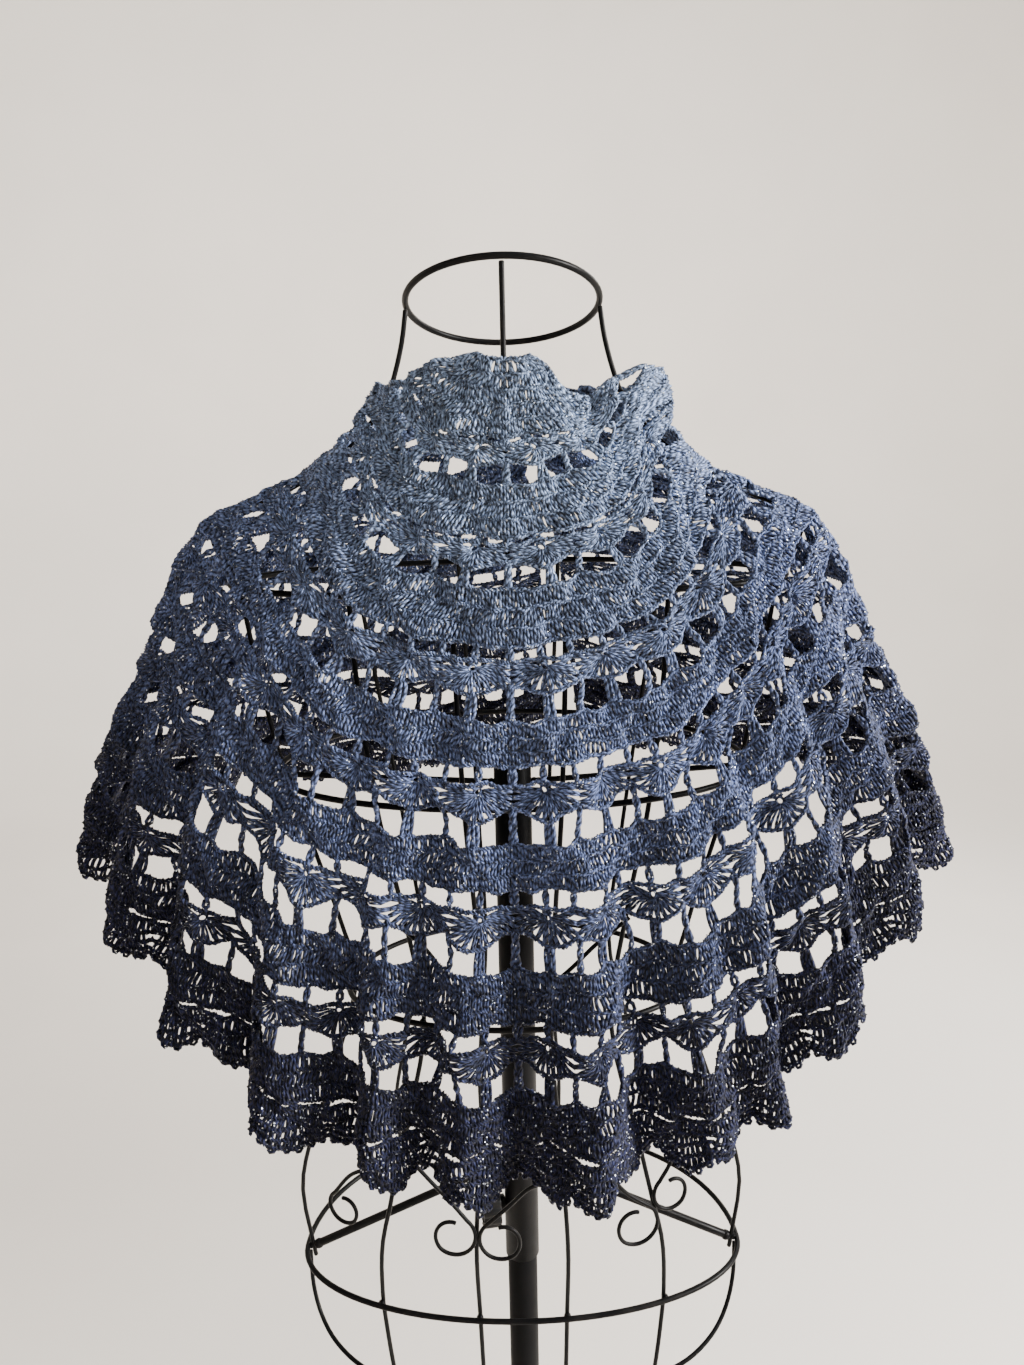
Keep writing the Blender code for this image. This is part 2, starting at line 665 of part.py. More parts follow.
def make_along_knob(name, outline, sides, material, collection):
    """A body turned round the knob's axis, from rows of distance along it and radius."""
    mesh_data = bmesh.new()
    loop = [mesh_data.verts.new((radius, 0.0, along)) for along, radius in outline]
    edges = [mesh_data.edges.new((a, b)) for a, b in zip(loop, loop[1:] + loop[:1])]
    bmesh.ops.spin(
        mesh_data, geom=loop + edges, cent=(0, 0, 0), axis=(0, 0, 1),
        angle=2 * math.pi, steps=sides, use_merge=True,
    )
    bmesh.ops.recalc_face_normals(mesh_data, faces=mesh_data.faces[:])
    mesh = bpy.data.meshes.new(name)
    mesh_data.to_mesh(mesh)
    mesh_data.free()
    mesh.materials.append(material)
    mesh.shade_smooth()
    mesh.set_sharp_from_angle(angle=math.radians(40))
    piece = bpy.data.objects.new(name, mesh)
    piece.location = (0.0, 0.0, KNOB_HEIGHT)
    piece.rotation_euler = knob_direction().to_track_quat("Z", "X").to_euler()
    collection.objects.link(piece)
    return piece


def make_knob(tube, materials, collection, cutters):
    """The clamp: a boss on the tube, a screw through it and a ribbed knob."""
    boss_from = TUBE_RADIUS + GAP
    boss_to = TUBE_RADIUS + 0.0042
    knob_from = boss_to + GAP
    knob_to = knob_from + KNOB_THICKNESS
    make_along_knob(
        "clamp_boss",
        [(boss_from, SCREW_BORE), (boss_to, SCREW_BORE), (boss_to, BOSS_RADIUS), (boss_from, BOSS_RADIUS)],
        12, materials["steel_tube"], collection,
    )
    mesh_data = bmesh.new()
    bmesh.ops.create_cone(
        mesh_data, cap_ends=True, segments=12, radius1=SCREW_RADIUS, radius2=SCREW_RADIUS,
        depth=knob_from - POLE_RADIUS - 0.0007,
    )
    screw = add_on_knob_axis("knob_screw", mesh_data, 0.5 * (knob_from - GAP + POLE_RADIUS + 0.0004))
    screw.data.materials.append(materials["steel_tube"])
    collection.objects.link(screw)

    grip = bmesh.new()
    bmesh.ops.create_cone(
        grip, cap_ends=True, segments=2 * KNOB_RIBS, radius1=KNOB_RADIUS, radius2=KNOB_RADIUS,
        depth=KNOB_THICKNESS,
    )
    for vertex in grip.verts:
        turn = math.atan2(vertex.co.y, vertex.co.x) / (2 * math.pi) * 2 * KNOB_RIBS
        if round(turn - 0.5) % 2:
            vertex.co.x *= 0.88
            vertex.co.y *= 0.88
    caps = [face for face in grip.faces if len(face.verts) > 4 and face.normal.z > 0]
    bmesh.ops.inset_region(grip, faces=caps, thickness=0.0022, depth=-0.0012, use_even_offset=False)
    knob = add_on_knob_axis("knob", grip, 0.5 * (knob_from + knob_to))
    knob.data.materials.append(materials["knob"])
    collection.objects.link(knob)

    hole = bmesh.new()
    bmesh.ops.create_cone(
        hole, cap_ends=True, segments=12, radius1=SCREW_BORE, radius2=SCREW_BORE, depth=0.012
    )
    cutter = add_on_knob_axis("screw_hole_cutter", hole, TUBE_RADIUS)
    cutter.hide_render = True
    cutter.display_type = "WIRE"
    cutters.objects.link(cutter)
    cut = tube.modifiers.new("screw_hole", "BOOLEAN")
    cut.operation = "DIFFERENCE"
    cut.object = cutter


def add_on_knob_axis(name, mesh_data, along):
    mesh = bpy.data.meshes.new(name)
    mesh_data.to_mesh(mesh)
    mesh_data.free()
    mesh.shade_smooth()
    mesh.set_sharp_from_angle(angle=math.radians(40))
    piece = bpy.data.objects.new(name, mesh)
    direction = knob_direction()
    piece.location = Vector((0.0, 0.0, KNOB_HEIGHT)) + along * direction
    piece.rotation_euler = direction.to_track_quat("Z", "X").to_euler()
    return piece


def main():
    clear_scene()
    collection = make_collection("shawlette_on_dress_form")
    cutters = make_collection("cutters")
    materials = {
        "yarn_light": make_material("crochet_yarn", COLOURS["yarn_light"], 0.75, 0.0),
        "yarn_dark": make_material("edging_yarn", COLOURS["yarn_dark"], 0.75, 0.0),
        "wire": make_material("painted_wire", COLOURS["wire"], 0.32, 0.0),
        "steel_tube": make_material("painted_tube", COLOURS["steel_tube"], 0.30, 0.0),
        "base": make_material("painted_base", COLOURS["base"], 0.35, 0.0),
        "knob": make_material("black_plastic", COLOURS["knob"], 0.45, 0.0),
    }
    for side, word in ((-1, "left"), (1, "right")):
        make_shawl_wing(f"shawl_{word}", side, materials["yarn_light"], collection)
        make_edging(f"edging_{word}", side, materials["yarn_dark"], collection)
    wire = materials["wire"]
    make_neck_ring(wire, collection)
    make_cage_ring("yoke_ring", YOKE_HEIGHT, wire, collection, 4)
    make_cage_ring("bust_ring", BUST_HEIGHT, wire, collection, 4)
    make_cage_ring("waist_ring", WAIST_HEIGHT, wire, collection, 4)
    make_cage_ring("hip_ring", HIP_HEIGHT, wire, collection, 6)
    make_uprights(wire, collection)
    make_side_wires(wire, collection)
    make_centre_wires(wire, collection)
    make_rim(wire, collection)
    make_braces(wire, collection)
    make_scrolls(wire, collection)
    tube = make_stand(materials, collection)
    make_knob(tube, materials, collection, cutters)


main()
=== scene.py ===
"""Crocheted crescent shawlette on a wire dress form, with its looks, lights and camera.

Metres, +Z up. The middle of the shawlette hangs on the -Y side. Distances down the
cloth are measured from the start of the crochet at the neck, and shares run along a
row from the middle, at 0, to the wing's end, at 1.
"""

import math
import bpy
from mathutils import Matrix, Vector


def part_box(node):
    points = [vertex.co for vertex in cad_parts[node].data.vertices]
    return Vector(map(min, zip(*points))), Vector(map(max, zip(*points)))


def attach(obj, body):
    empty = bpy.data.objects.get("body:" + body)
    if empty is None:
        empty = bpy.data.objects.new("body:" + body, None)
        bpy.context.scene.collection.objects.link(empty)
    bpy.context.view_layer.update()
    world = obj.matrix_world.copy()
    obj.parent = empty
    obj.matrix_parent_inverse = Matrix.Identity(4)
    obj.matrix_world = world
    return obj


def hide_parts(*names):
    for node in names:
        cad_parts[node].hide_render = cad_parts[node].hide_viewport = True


bl_info = {
    "name": "Crocheted shawlette on a wire dress form",
    "version": (1, 0, 0),
    "blender": (4, 5, 0),
    "location": "View3D > Sidebar > Shawlette",
    "description": "Works the lace of a shawlette in yarn and finishes the wire form below it",
    "category": "Object",
}

import bmesh
import bpy
import numpy as np
from bpy.props import FloatProperty, FloatVectorProperty, IntProperty, PointerProperty
from mathutils import Matrix, Vector

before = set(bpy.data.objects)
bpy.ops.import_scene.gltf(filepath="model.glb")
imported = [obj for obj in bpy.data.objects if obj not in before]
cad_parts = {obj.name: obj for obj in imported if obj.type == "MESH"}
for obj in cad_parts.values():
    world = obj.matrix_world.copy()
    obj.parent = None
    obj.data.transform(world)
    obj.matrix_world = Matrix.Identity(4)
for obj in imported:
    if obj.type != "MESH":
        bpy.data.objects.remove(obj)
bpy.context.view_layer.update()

SIDES = {"left": -1, "right": 1}

# Cloth

SHAWL_DEPTH = 0.464
START_ROW = 0.004
START_ROWS = 5
WING_END = {-1: 187.0, 1: 168.0}

# Drape of the cloth, as distance from the axis and height down each side
NEAR_DRAPE = [
    (0.0600, 1.369), (0.0650, 1.320), (0.0800, 1.266), (0.0950, 1.205),
    (0.1130, 1.140), (0.1330, 1.075), (0.1550, 1.004), (0.1750, 0.949), (0.1850, 0.918),
]
SIDE_DRAPE = [
    (0.0745, 1.352), (0.0990, 1.322), (0.1320, 1.298), (0.1900, 1.272), (0.2080, 1.246),
    (0.2300, 1.194), (0.2500, 1.154), (0.2620, 1.120), (0.2740, 1.059), (0.2780, 1.000),
]
FAR_DRAPE = [
    (0.0620, 1.352), (0.0750, 1.310), (0.1000, 1.260), (0.1300, 1.200),
    (0.1450, 1.140), (0.1520, 1.080), (0.1570, 1.020), (0.1600, 0.970),
]

# Distance by which the rows climb towards the neck, by azimuth
ROW_CLIMB = {
    -1: [
        (0.0, 0.0), (20.0, 0.008), (35.0, 0.030), (45.0, 0.054), (60.0, 0.080),
        (75.0, 0.090), (90.0, 0.098), (120.0, 0.116), (150.0, 0.138), (187.0, 0.165),
    ],
    1: [
        (0.0, 0.0), (20.0, 0.008), (35.0, 0.030), (45.0, 0.054), (60.0, 0.080),
        (75.0, 0.090), (90.0, 0.099), (120.0, 0.124), (150.0, 0.156), (168.0, 0.178),
    ],
}

# Neck edge: azimuth, distance pushed out and distance raised
NECK_EDGE = [
    (-187.0, 0.000, 0.000), (-120.0, 0.000, 0.000), (-84.0, 0.002, 0.003),
    (-60.0, 0.000, -0.003), (-25.0, 0.000, 0.000), (0.0, 0.000, 0.000),
    (16.0, 0.000, -0.003), (30.0, 0.001, -0.020), (37.0, 0.003, -0.019),
    (46.0, 0.011, -0.006), (58.0, 0.019, 0.003), (70.0, 0.022, 0.006),
    (84.0, 0.016, 0.001), (102.0, 0.004, -0.002), (130.0, 0.000, 0.000), (168.0, 0.000, 0.000),
]
NECK_EDGE_REACH = 0.036

# Folds at the hem: azimuth and distance out, ridges and valleys in turn
HEM_FOLDS = [
    (-187.0, 0.004), (-179.0, -0.009), (-170.0, 0.012), (-161.0, -0.010), (-152.0, 0.013),
    (-142.0, -0.011), (-133.0, 0.012), (-124.0, -0.011), (-115.0, 0.012), (-106.0, -0.010),
    (-97.0, 0.012), (-88.0, -0.009), (-78.0, 0.013), (-68.0, -0.013), (-57.0, 0.014),
    (-50.0, -0.014), (-43.0, 0.014), (-36.0, -0.015), (-28.0, 0.017), (-20.5, -0.015),
    (-16.0, 0.012), (-11.0, -0.012), (-6.0, 0.012), (0.0, -0.014), (8.0, 0.018),
    (15.0, -0.016), (21.0, 0.014), (25.5, 0.003), (29.0, 0.013), (34.0, -0.014),
    (41.0, 0.015), (49.0, -0.013), (57.0, 0.014), (66.0, -0.012), (75.0, 0.014),
    (84.0, -0.010), (93.0, 0.012), (102.0, -0.010), (111.0, 0.013), (120.0, -0.011),
    (129.0, 0.012), (138.0, -0.010), (147.0, 0.013), (156.0, -0.009), (168.0, 0.006),
]
FOLD_START = 0.30

# Lace, by repeat: distance of its first row, shells in each wing and half the height of
# its row of squares, and then, as shares of the repeat: the point that a shell spreads
# from, where shells meet, a shell's tip, and the end of the large holes
LACE_REPEATS = [
    (0.049, 3, 0.0016, 0.10, 0.19, 0.27, 0.45),
    (0.105, 6, 0.0018, 0.10, 0.18, 0.26, 0.43),
    (0.168, 11, 0.0040, 0.13, 0.25, 0.35, 0.56),
    (0.236, 15, 0.0052, 0.14, 0.25, 0.38, 0.57),
    (0.304, 18, 0.0050, 0.13, 0.24, 0.36, 0.54),
    (0.378, 22, 0.0045, 0.14, 0.26, 0.38, 0.57),
]
SHELL_OFFSET = 0.06
SHELL_TIP = 0.56

# Pieces of the lace, and the repeats in each
LACE_PIECES = {"upper_lace": (0, 1, 2, 3), "middle_lace": (4,), "lower_lace": (5,)}

# Edging: distance of its row of slits, half their height, how far below it the solid row
# ends, the shells in each wing, and the posts, picots and ridges of each shell
EDGING_START = 0.4365
EDGING_GAP = 0.0015
EDGING_BAND = 0.0088
EDGING_SHELLS = 24
EDGING_POSTS = 10
EDGING_PICOTS = 6
EDGING_RIDGES = (0.36, 0.70)
GATHER = 0.22
PICOT_RADIUS = 0.0016
SCALLOP_DEPTH = 0.009
HEM_INSET = 0.0006
EDGING_CORD_STOP = 0.010

# Distances at which each repeat starts, and at which the slits above its first row do
STARTS = [repeat[0] for repeat in LACE_REPEATS] + [EDGING_START]
SLITS = [repeat[0] - repeat[2] for repeat in LACE_REPEATS] + [EDGING_START - EDGING_GAP]

# Stitches. The chains below slits and large holes hang down by a drop, and the posts draw
# them up by a sag. The last two keep the first bars and posts off the shawlette's middle
SLIT_DROP = 0.0008
SLIT_SAG = 0.0006
HOLE_DROP = 0.0012
HOLE_SAG = 0.0032
SMALL_HOLE = 0.0017
RING_RADIUS = 0.0019
SHELL_START = 0.0016
SHELL_SIDE = 0.0002
SHELL_LOOSE = 0.0003
SHELL_SPACING = 1.12
SHELL_ROUNDNESS = 0.8
POST_PAIR = 0.0016
POST_SWAY = 0.0006
BAR_OFF_MIDDLE = 0.0008
POST_OFF_MIDDLE = 0.0006

# Shares of a strand's radius: half the depth of a post's and a ridge's twist, and how
# loosely posts and ridges lie
POST_DEPTH = 0.62
POST_LOOSE = 0.16
POST_RAISED = 0.22
RIDGE_DEPTH = 0.85
RIDGE_LOOSE = 0.10

# Rows longer than this are worked with a slightly fuller strand
FINE_ROWS_TO = 0.50
FULL_STRAND = 1.07

# Unevenness of handwork: wave length along the rows and down the cloth, start of the
# wave, and its height along the rows, down the cloth and outwards
UNEVENNESS = [
    (0.053, 0.071, 0.4, 0.0008, 0.0008, 0.0014),
    (0.034, -0.047, 2.1, 0.0006, 0.0007, 0.0010),
    (0.021, 0.033, 4.4, 0.0004, 0.0004, 0.0006),
    (0.0125, -0.019, 1.2, 0.0003, 0.0003, 0.0004),
]
UNEVEN_FROM = 0.008

# Wire cage, by height: half width, reach on the near side and on the far side
CAGE_SECTIONS = [
    (0.640, 0.142, 0.068, 0.116), (0.680, 0.150, 0.070, 0.122), (0.731, 0.1575, 0.068, 0.121),
    (0.780, 0.1625, 0.072, 0.116), (0.850, 0.145, 0.066, 0.098), (0.950, 0.113, 0.058, 0.082),
    (1.030, 0.130, 0.066, 0.100), (1.110, 0.152, 0.080, 0.126), (1.180, 0.165, 0.078, 0.112),
    (1.240, 0.172, 0.068, 0.080),
]
CAGE_RINGS = {"yoke_ring": 1.235, "bust_ring": 1.110, "waist_ring": 0.950, "hip_ring": 0.731}
HIP_HEIGHT = CAGE_RINGS["hip_ring"]
WAIST_HEIGHT = CAGE_RINGS["waist_ring"]
YOKE_HEIGHT = CAGE_RINGS["yoke_ring"]
RIM_LOW = 0.658
GAP = 0.0003
NECK_RING_RADIUS = 0.058
NECK_RING_HEIGHT = 1.400
NECK_RING_TILT = 0.31
NEAR_UPRIGHTS = {"near_outer": 39.0, "near_inner": 11.0}
FAR_UPRIGHTS = {"far_outer": 141.0, "far_inner": 168.0}
UPRIGHT_HEAD = 0.004
UPRIGHT_FOOT = 0.009
LEAN = [(HIP_HEIGHT, 0.0), (0.810, 4.0), (WAIST_HEIGHT, 6.0)]

# A bead of weld as a share of its wire's radius, its place over the rim in the same way,
# and how far one bites into the tube's face
BEAD_SIZE = 1.28
RIM_BEAD = 1.6
WELD_BITE = 0.0011

# The wires over the shoulders: distance from the middle and height
SHOULDER_WIRE = [
    (0.0582, 1.3974), (0.0612, 1.379), (0.0665, 1.360), (0.0725, 1.345), (0.0840, 1.330),
    (0.1000, 1.314), (0.1190, 1.3015), (0.1480, 1.2870), (0.1700, 1.2775), (0.1850, 1.2690),
    (0.1840, 1.2560), (0.1770, 1.2450),
]
SIDE_WIRE_HEIGHTS = (
    1.235, 1.210, 1.150, 1.106, 1.050, 0.990, 0.950, 0.880, 0.820, 0.780, 0.7325, 0.722,
)

# The wires from the neck ring to the yoke ring in the middle: place on Y and height
CENTRE_WIRES = {
    "centre_wire_near": [
        (-0.0580, 1.4154), (-0.0573, 1.395), (-0.0569, 1.368), (-0.0600, 1.315), (-0.0690, 1.229),
    ],
    "centre_wire_far": [
        (0.0580, 1.3794), (0.0562, 1.360), (0.0600, 1.320), (0.0720, 1.270), (0.0812, 1.231),
    ],
}

# The lower rim: distance from the middle, set back from the cage and height
RIM_HALF = [
    (0.0, 0.0, RIM_LOW), (0.030, 0.001, 0.6585), (0.060, 0.004, 0.6605), (0.092, 0.012, 0.6640),
    (0.118, 0.022, 0.6680), (0.138, 0.036, 0.6745), (0.151, 0.050, 0.6850), (0.158, 0.060, 0.7040),
    (0.1605, 0.0695, 0.7265),
]

# Scrolls on the near side: centre across and up, radius, angle at the inner end, sweep,
# and the points that the tail runs through
SCROLLS = [
    ("scroll_left_outer", (-0.0462, 0.802), 0.0145, 80.0, 330.0,
     [(-0.048, 0.826), (-0.064, 0.842), (-0.077, 0.856), (-0.080, 0.868), (-0.074, 0.878)]),
    ("scroll_left_inner", (-0.0144, 0.800), 0.0145, 100.0, -330.0,
     [(-0.009, 0.824), (0.004, 0.836), (0.016, 0.841)]),
    ("scroll_right_inner", (0.0789, 0.802), 0.0145, 80.0, 330.0,
     [(0.072, 0.826), (0.060, 0.840), (0.048, 0.846)]),
    ("scroll_right_outer", (0.1030, 0.820), 0.0120, 100.0, -330.0,
     [(0.104, 0.842), (0.109, 0.862), (0.104, 0.874)]),
    ("scroll_left_side", (-0.124, 0.806), 0.0105, 100.0, -330.0,
     [(-0.119, 0.830), (-0.107, 0.838), (-0.094, 0.843), (-0.0825, 0.846)]),
    ("scroll_waist_left", (-0.050, 0.972), 0.0110, 80.0, 330.0,
     [(-0.048, 0.992), (-0.060, 1.010), (-0.074, 1.022)]),
    ("scroll_waist_right", (0.030, 0.974), 0.0110, 100.0, -330.0,
     [(0.036, 0.994), (0.052, 1.010), (0.073, 1.026)]),
]

# Braces: name, height at the tube, height at the side wire, and the room that its
# slanted ends take at the tube and at the side wire
BRACES = [
    ("hip_brace", 0.800, 0.7325, 0.0015, 0.0022),
    ("bust_brace", 1.098, 1.106, 0.0003, 0.0006),
]

# The height clamp. Its places along the knob's axis are from the middle of the tube
KNOB_HEIGHT = 0.767
KNOB_AZIMUTH = -80.0
KNOB_RADIUS = 0.0155
KNOB_THICKNESS = 0.013
KNOB_HOLLOW = 0.12
BOSS_FROM = 0.0128
BOSS_TO = 0.0167
KNOB_FROM = 0.0170
SCREW_FROM = 0.0114
SCREW_TO = 0.0167
SCREW_RADIUS = 0.003
SCREW_BORE = 0.0034
BOSS_RADIUS = 0.0065
CLAMP_EASE = 0.0004
KNOB_EASE = 0.0007

# The dish in the knob's end: width and depth of each step
KNOB_DISH = [(0.0024, 0.0), (0.0012, -0.0012)]

# Angle over which an edge of a wire or turned piece is shaded sharp
SHARP_ANGLE = 50.0

# Black finishes: dust, roughness, scale of the grain, specular level
FINISHES = {
    "painted_wire": (0.30, 0.32, 900.0, 0.08),
    "stand_enamel": (0.45, 0.34, 600.0, 0.08),
    "tube_enamel": (0.06, 0.34, 800.0, 0.04),
    "black_plastic": (0.20, 0.42, 1200.0, 0.2),
    "clamp_enamel": (0.25, 0.32, 800.0, 0.08),
    "knob_plastic": (0.25, 0.42, 1300.0, 0.2),
}

# Share of the yarn's flecks that glitter
GLITTER_SHARE = {"crochet_yarn": 0.05, "edging_yarn": 0.065}

# Lights: place, what each one faces, width and colour
LIGHTS = {
    "key": ((2.5, -0.6, 1.85), (0.0, 0.0, 1.05), 0.9, (1.0, 0.98, 0.95)),
    "fill": ((-2.1, -1.6, 1.6), (0.0, 0.0, 1.05), 1.6, (0.95, 0.97, 1.0)),
    "top": ((0.6, -0.4, 3.2), (0.0, 0.0, 1.1), 1.2, (1.0, 1.0, 1.0)),
    "back": ((1.4, 1.9, 2.2), (0.0, 0.0, 1.1), 1.2, (1.0, 0.99, 0.97)),
    "wall": ((0.0, 1.6, 2.4), (0.0, 4.6, 1.6), 1.6, (1.0, 0.99, 0.97)),
}
SKY_COLOUR = (0.93, 0.96, 1.0, 1.0)

# Floor and backdrop: radius, height, and radius of the curve between them
FLOOR_RADIUS = 4.6
BACKDROP_HEIGHT = 5.0
FLOOR_CURVE = 1.6

# Camera: place, degrees that it looks down, degrees of roll, and width of its sensor in mm
CAMERA_PLACE = (0.001, -0.65, 1.328)
CAMERA_DOWN = 14.0
CAMERA_ROLL = -1.2
SENSOR_WIDTH = 36.0


# Settings

def length_setting(name, description, default, **limits):
    return FloatProperty(
        name=name, description=description, default=default, unit="LENGTH", **limits,
    )


def colour_setting(name, description, default):
    return FloatVectorProperty(
        name=name, description=description, default=default, subtype="COLOR", size=3,
    )


def light_setting(name, description, default):
    return FloatProperty(name=name, description=description, default=default, unit="POWER")


def count_setting(name, description, default, least):
    return IntProperty(name=name, description=description, default=default, min=least)


class ShawletteYarn(bpy.types.PropertyGroup):
    """Yarn and stitches of the shawlette."""

    strand: length_setting("Strand radius", "Radius of one strand", 0.00112, min=0.0003)
    stitch: length_setting("Stitch width", "Width of a stitch along a row", 0.0039, min=0.002)
    row: length_setting("Row height", "Height of a row of tall stitches", 0.0092, min=0.004)
    ply: length_setting("Ply length", "Yarn in one turn of its plies", 0.0044, min=0.001)
    light: colour_setting("Colour at the neck", "Blue of the first rows", (0.180, 0.247, 0.388))
    middle: colour_setting("Colour half way", "Blue of the middle rows", (0.095, 0.128, 0.262))
    dark: colour_setting("Colour at the hem", "Navy of the last rows", (0.0075, 0.0095, 0.034))
    # The glitter colour is near-white, so the metallic thread's flecks show partly as the thread's own
    # colour and partly as painted glints
    glitter_painted_glint: colour_setting("Glitter", "Metallic thread spun into the yarn", (0.80, 0.86, 0.95))


class ShawletteCage(bpy.types.PropertyGroup):
    """Wires of the dress form."""

    ring: length_setting("Ring wire", "Radius of the level rings' wire", 0.0020)
    upright: length_setting("Cage wire", "Radius of the other cage wires", 0.0016)
    scroll: length_setting("Scroll wire", "Radius of the curled wires", 0.0014)
    hip_brace: length_setting("Hip brace", "Radius of the struts to the hip ring", 0.0030)
    bust_brace: length_setting("Bust brace", "Radius of the struts to the bust ring", 0.0020)
    sides: count_setting("Sides", "Sides of each round wire", 12, 6)
    paint: colour_setting("Paint", "Enamel on the wires", (0.004, 0.004, 0.0045))
    worn: colour_setting("Dust", "Dust and rubbed spots on the enamel", (0.022, 0.020, 0.018))


class ShawletteStand(bpy.types.PropertyGroup):
    """Stand, tube and clamp of the dress form."""

    sides: count_setting("Sides", "Sides of the round tubes", 48, 16)
    wall: length_setting("Tube wall", "Wall of the pole and the tube", 0.0012)
    socket_bore: length_setting("Socket bore", "Radius of the base socket's bore", 0.0118)
    knob_ribs: count_setting("Knob ribs", "Ribs round the clamp knob", 12, 6)
    paint: colour_setting("Paint", "Enamel on the stand", (0.005, 0.005, 0.0055))
    plastic: colour_setting("Plastic", "Plastic of the knob and the cap", (0.007, 0.007, 0.0075))


class ShawletteStage(bpy.types.PropertyGroup):
    """Floor, lights and camera."""

    floor: colour_setting("Floor", "Colour of the floor and backdrop", (0.86, 0.81, 0.75))
    key: light_setting("Key light", "Power of the large soft light", 268.0)
    fill: light_setting("Fill light", "Power of the second light", 3.0)
    top: light_setting("Top light", "Power of the light above", 14.0)
    wall: light_setting("Wall light", "Power of the light on the backdrop", 84.0)
    back: light_setting("Back light", "Power of the light behind", 32.0)
    sky: FloatProperty(name="Sky", description="Strength of the light all round", default=0.06)
    lens: FloatProperty(name="Lens", description="Focal length for a 36 mm frame", default=27.03)


# Shape of the draped cloth

def smooth_table(knots, values):
    """A smooth curve through a table, which turns level at each peak and dip."""
    knots = np.asarray(knots, dtype=float)
    values = np.asarray(values, dtype=float)
    widths = np.diff(knots)
    rises = np.diff(values) / widths
    slopes = np.zeros(len(knots))
    slopes[0] = rises[0]
    slopes[-1] = rises[-1]
    total = rises[:-1] + rises[1:]
    same_way = rises[:-1] * rises[1:] > 0
    safe_total = np.where(same_way, total, 1.0)
    slopes[1:-1] = np.where(same_way, 2 * rises[:-1] * rises[1:] / safe_total, 0.0)

    def value_at(x):
        x = np.clip(x, knots[0], knots[-1])
        i = np.clip(np.searchsorted(knots, x, side="right") - 1, 0, len(widths) - 1)
        h = widths[i]
        s = (x - knots[i]) / h
        start = values[i] * (1 + 2 * s) * (1 - s) ** 2 + slopes[i] * h * s * (1 - s) ** 2
        end = values[i + 1] * s * s * (3 - 2 * s) + slopes[i + 1] * h * s * s * (s - 1)
        return start + end

    return value_at


def run_along(points):
    """Length of the way from the first point to each one."""
    steps = np.linalg.norm(np.diff(points, axis=0), axis=1)
    return np.concatenate([[0.0], np.cumsum(steps)])


def unit(vectors):
    return vectors / np.maximum(np.linalg.norm(vectors, axis=-1, keepdims=True), 1e-12)


def evenly(count):
    """Shares of the middles of equal parts."""
    return (np.arange(count) + 0.5) / count


def drape_profile(points):
    """Distance and height of a drape line, by the length of cloth down it."""
    points = np.asarray(points)
    chords = np.concatenate([[0.0], np.cumsum(np.hypot(*np.diff(points, axis=0).T))])
    return smooth_table(chords, points[:, 0]), smooth_table(chords, points[:, 1])


NEAR = drape_profile(NEAR_DRAPE)
SIDE = drape_profile(SIDE_DRAPE)
FAR = drape_profile(FAR_DRAPE)
CLIMB = {side: smooth_table(*zip(*rows)) for side, rows in ROW_CLIMB.items()}
NECK_OUT = smooth_table([row[0] for row in NECK_EDGE], [row[1] for row in NECK_EDGE])
NECK_UP = smooth_table([row[0] for row in NECK_EDGE], [row[2] for row in NECK_EDGE])
FOLD = smooth_table(*zip(*HEM_FOLDS))


def cloth_point(azimuth, down, side):
    """Middle of the cloth at an azimuth in degrees and a length below the neck edge."""
    angle = np.radians(azimuth)
    sine, cosine = np.sin(angle), np.cos(angle)
    front = cosine > 0
    reach_side, height_side = SIDE[0](down), SIDE[1](down)
    reach_middle = np.where(front, NEAR[0](down), FAR[0](down))
    height_middle = np.where(front, NEAR[1](down), FAR[1](down))
    x = reach_side * sine
    y = -reach_middle * cosine
    z = height_side * sine ** 2 + height_middle * cosine ** 2
    hem_length = SHAWL_DEPTH - CLIMB[side](np.abs(azimuth))
    share = np.clip((down / hem_length - FOLD_START) / (1 - FOLD_START), 0.0, 1.2)
    fold = FOLD(azimuth) * share ** 1.35
    edge = np.exp(-(down / NECK_EDGE_REACH) ** 2)
    out = (fold + NECK_OUT(azimuth) * edge) / np.hypot(x, y)
    return np.stack([x * (1 + out), y * (1 + out), z + NECK_UP(azimuth) * edge], axis=-1)


def row_end(distance, side):
    """Azimuth, in degrees from the middle, where a row meets the neck edge or the wing's end."""
    azimuths = np.linspace(0.0, WING_END[side], 721)
    return float(np.interp(distance, CLIMB[side](azimuths), azimuths))


def row_points(distance, side, shares, samples=900):
    """Points on the row at a distance from the start, at shares of its length."""
    azimuths = np.linspace(0.0, row_end(distance, side), samples)
    down = np.maximum(distance - CLIMB[side](azimuths), 0.0)
    points = cloth_point(side * azimuths, down, side)
    lengths = run_along(points)
    wanted = np.asarray(shares) * lengths[-1]
    return np.stack([np.interp(wanted, lengths, points[:, i]) for i in range(3)], axis=-1)


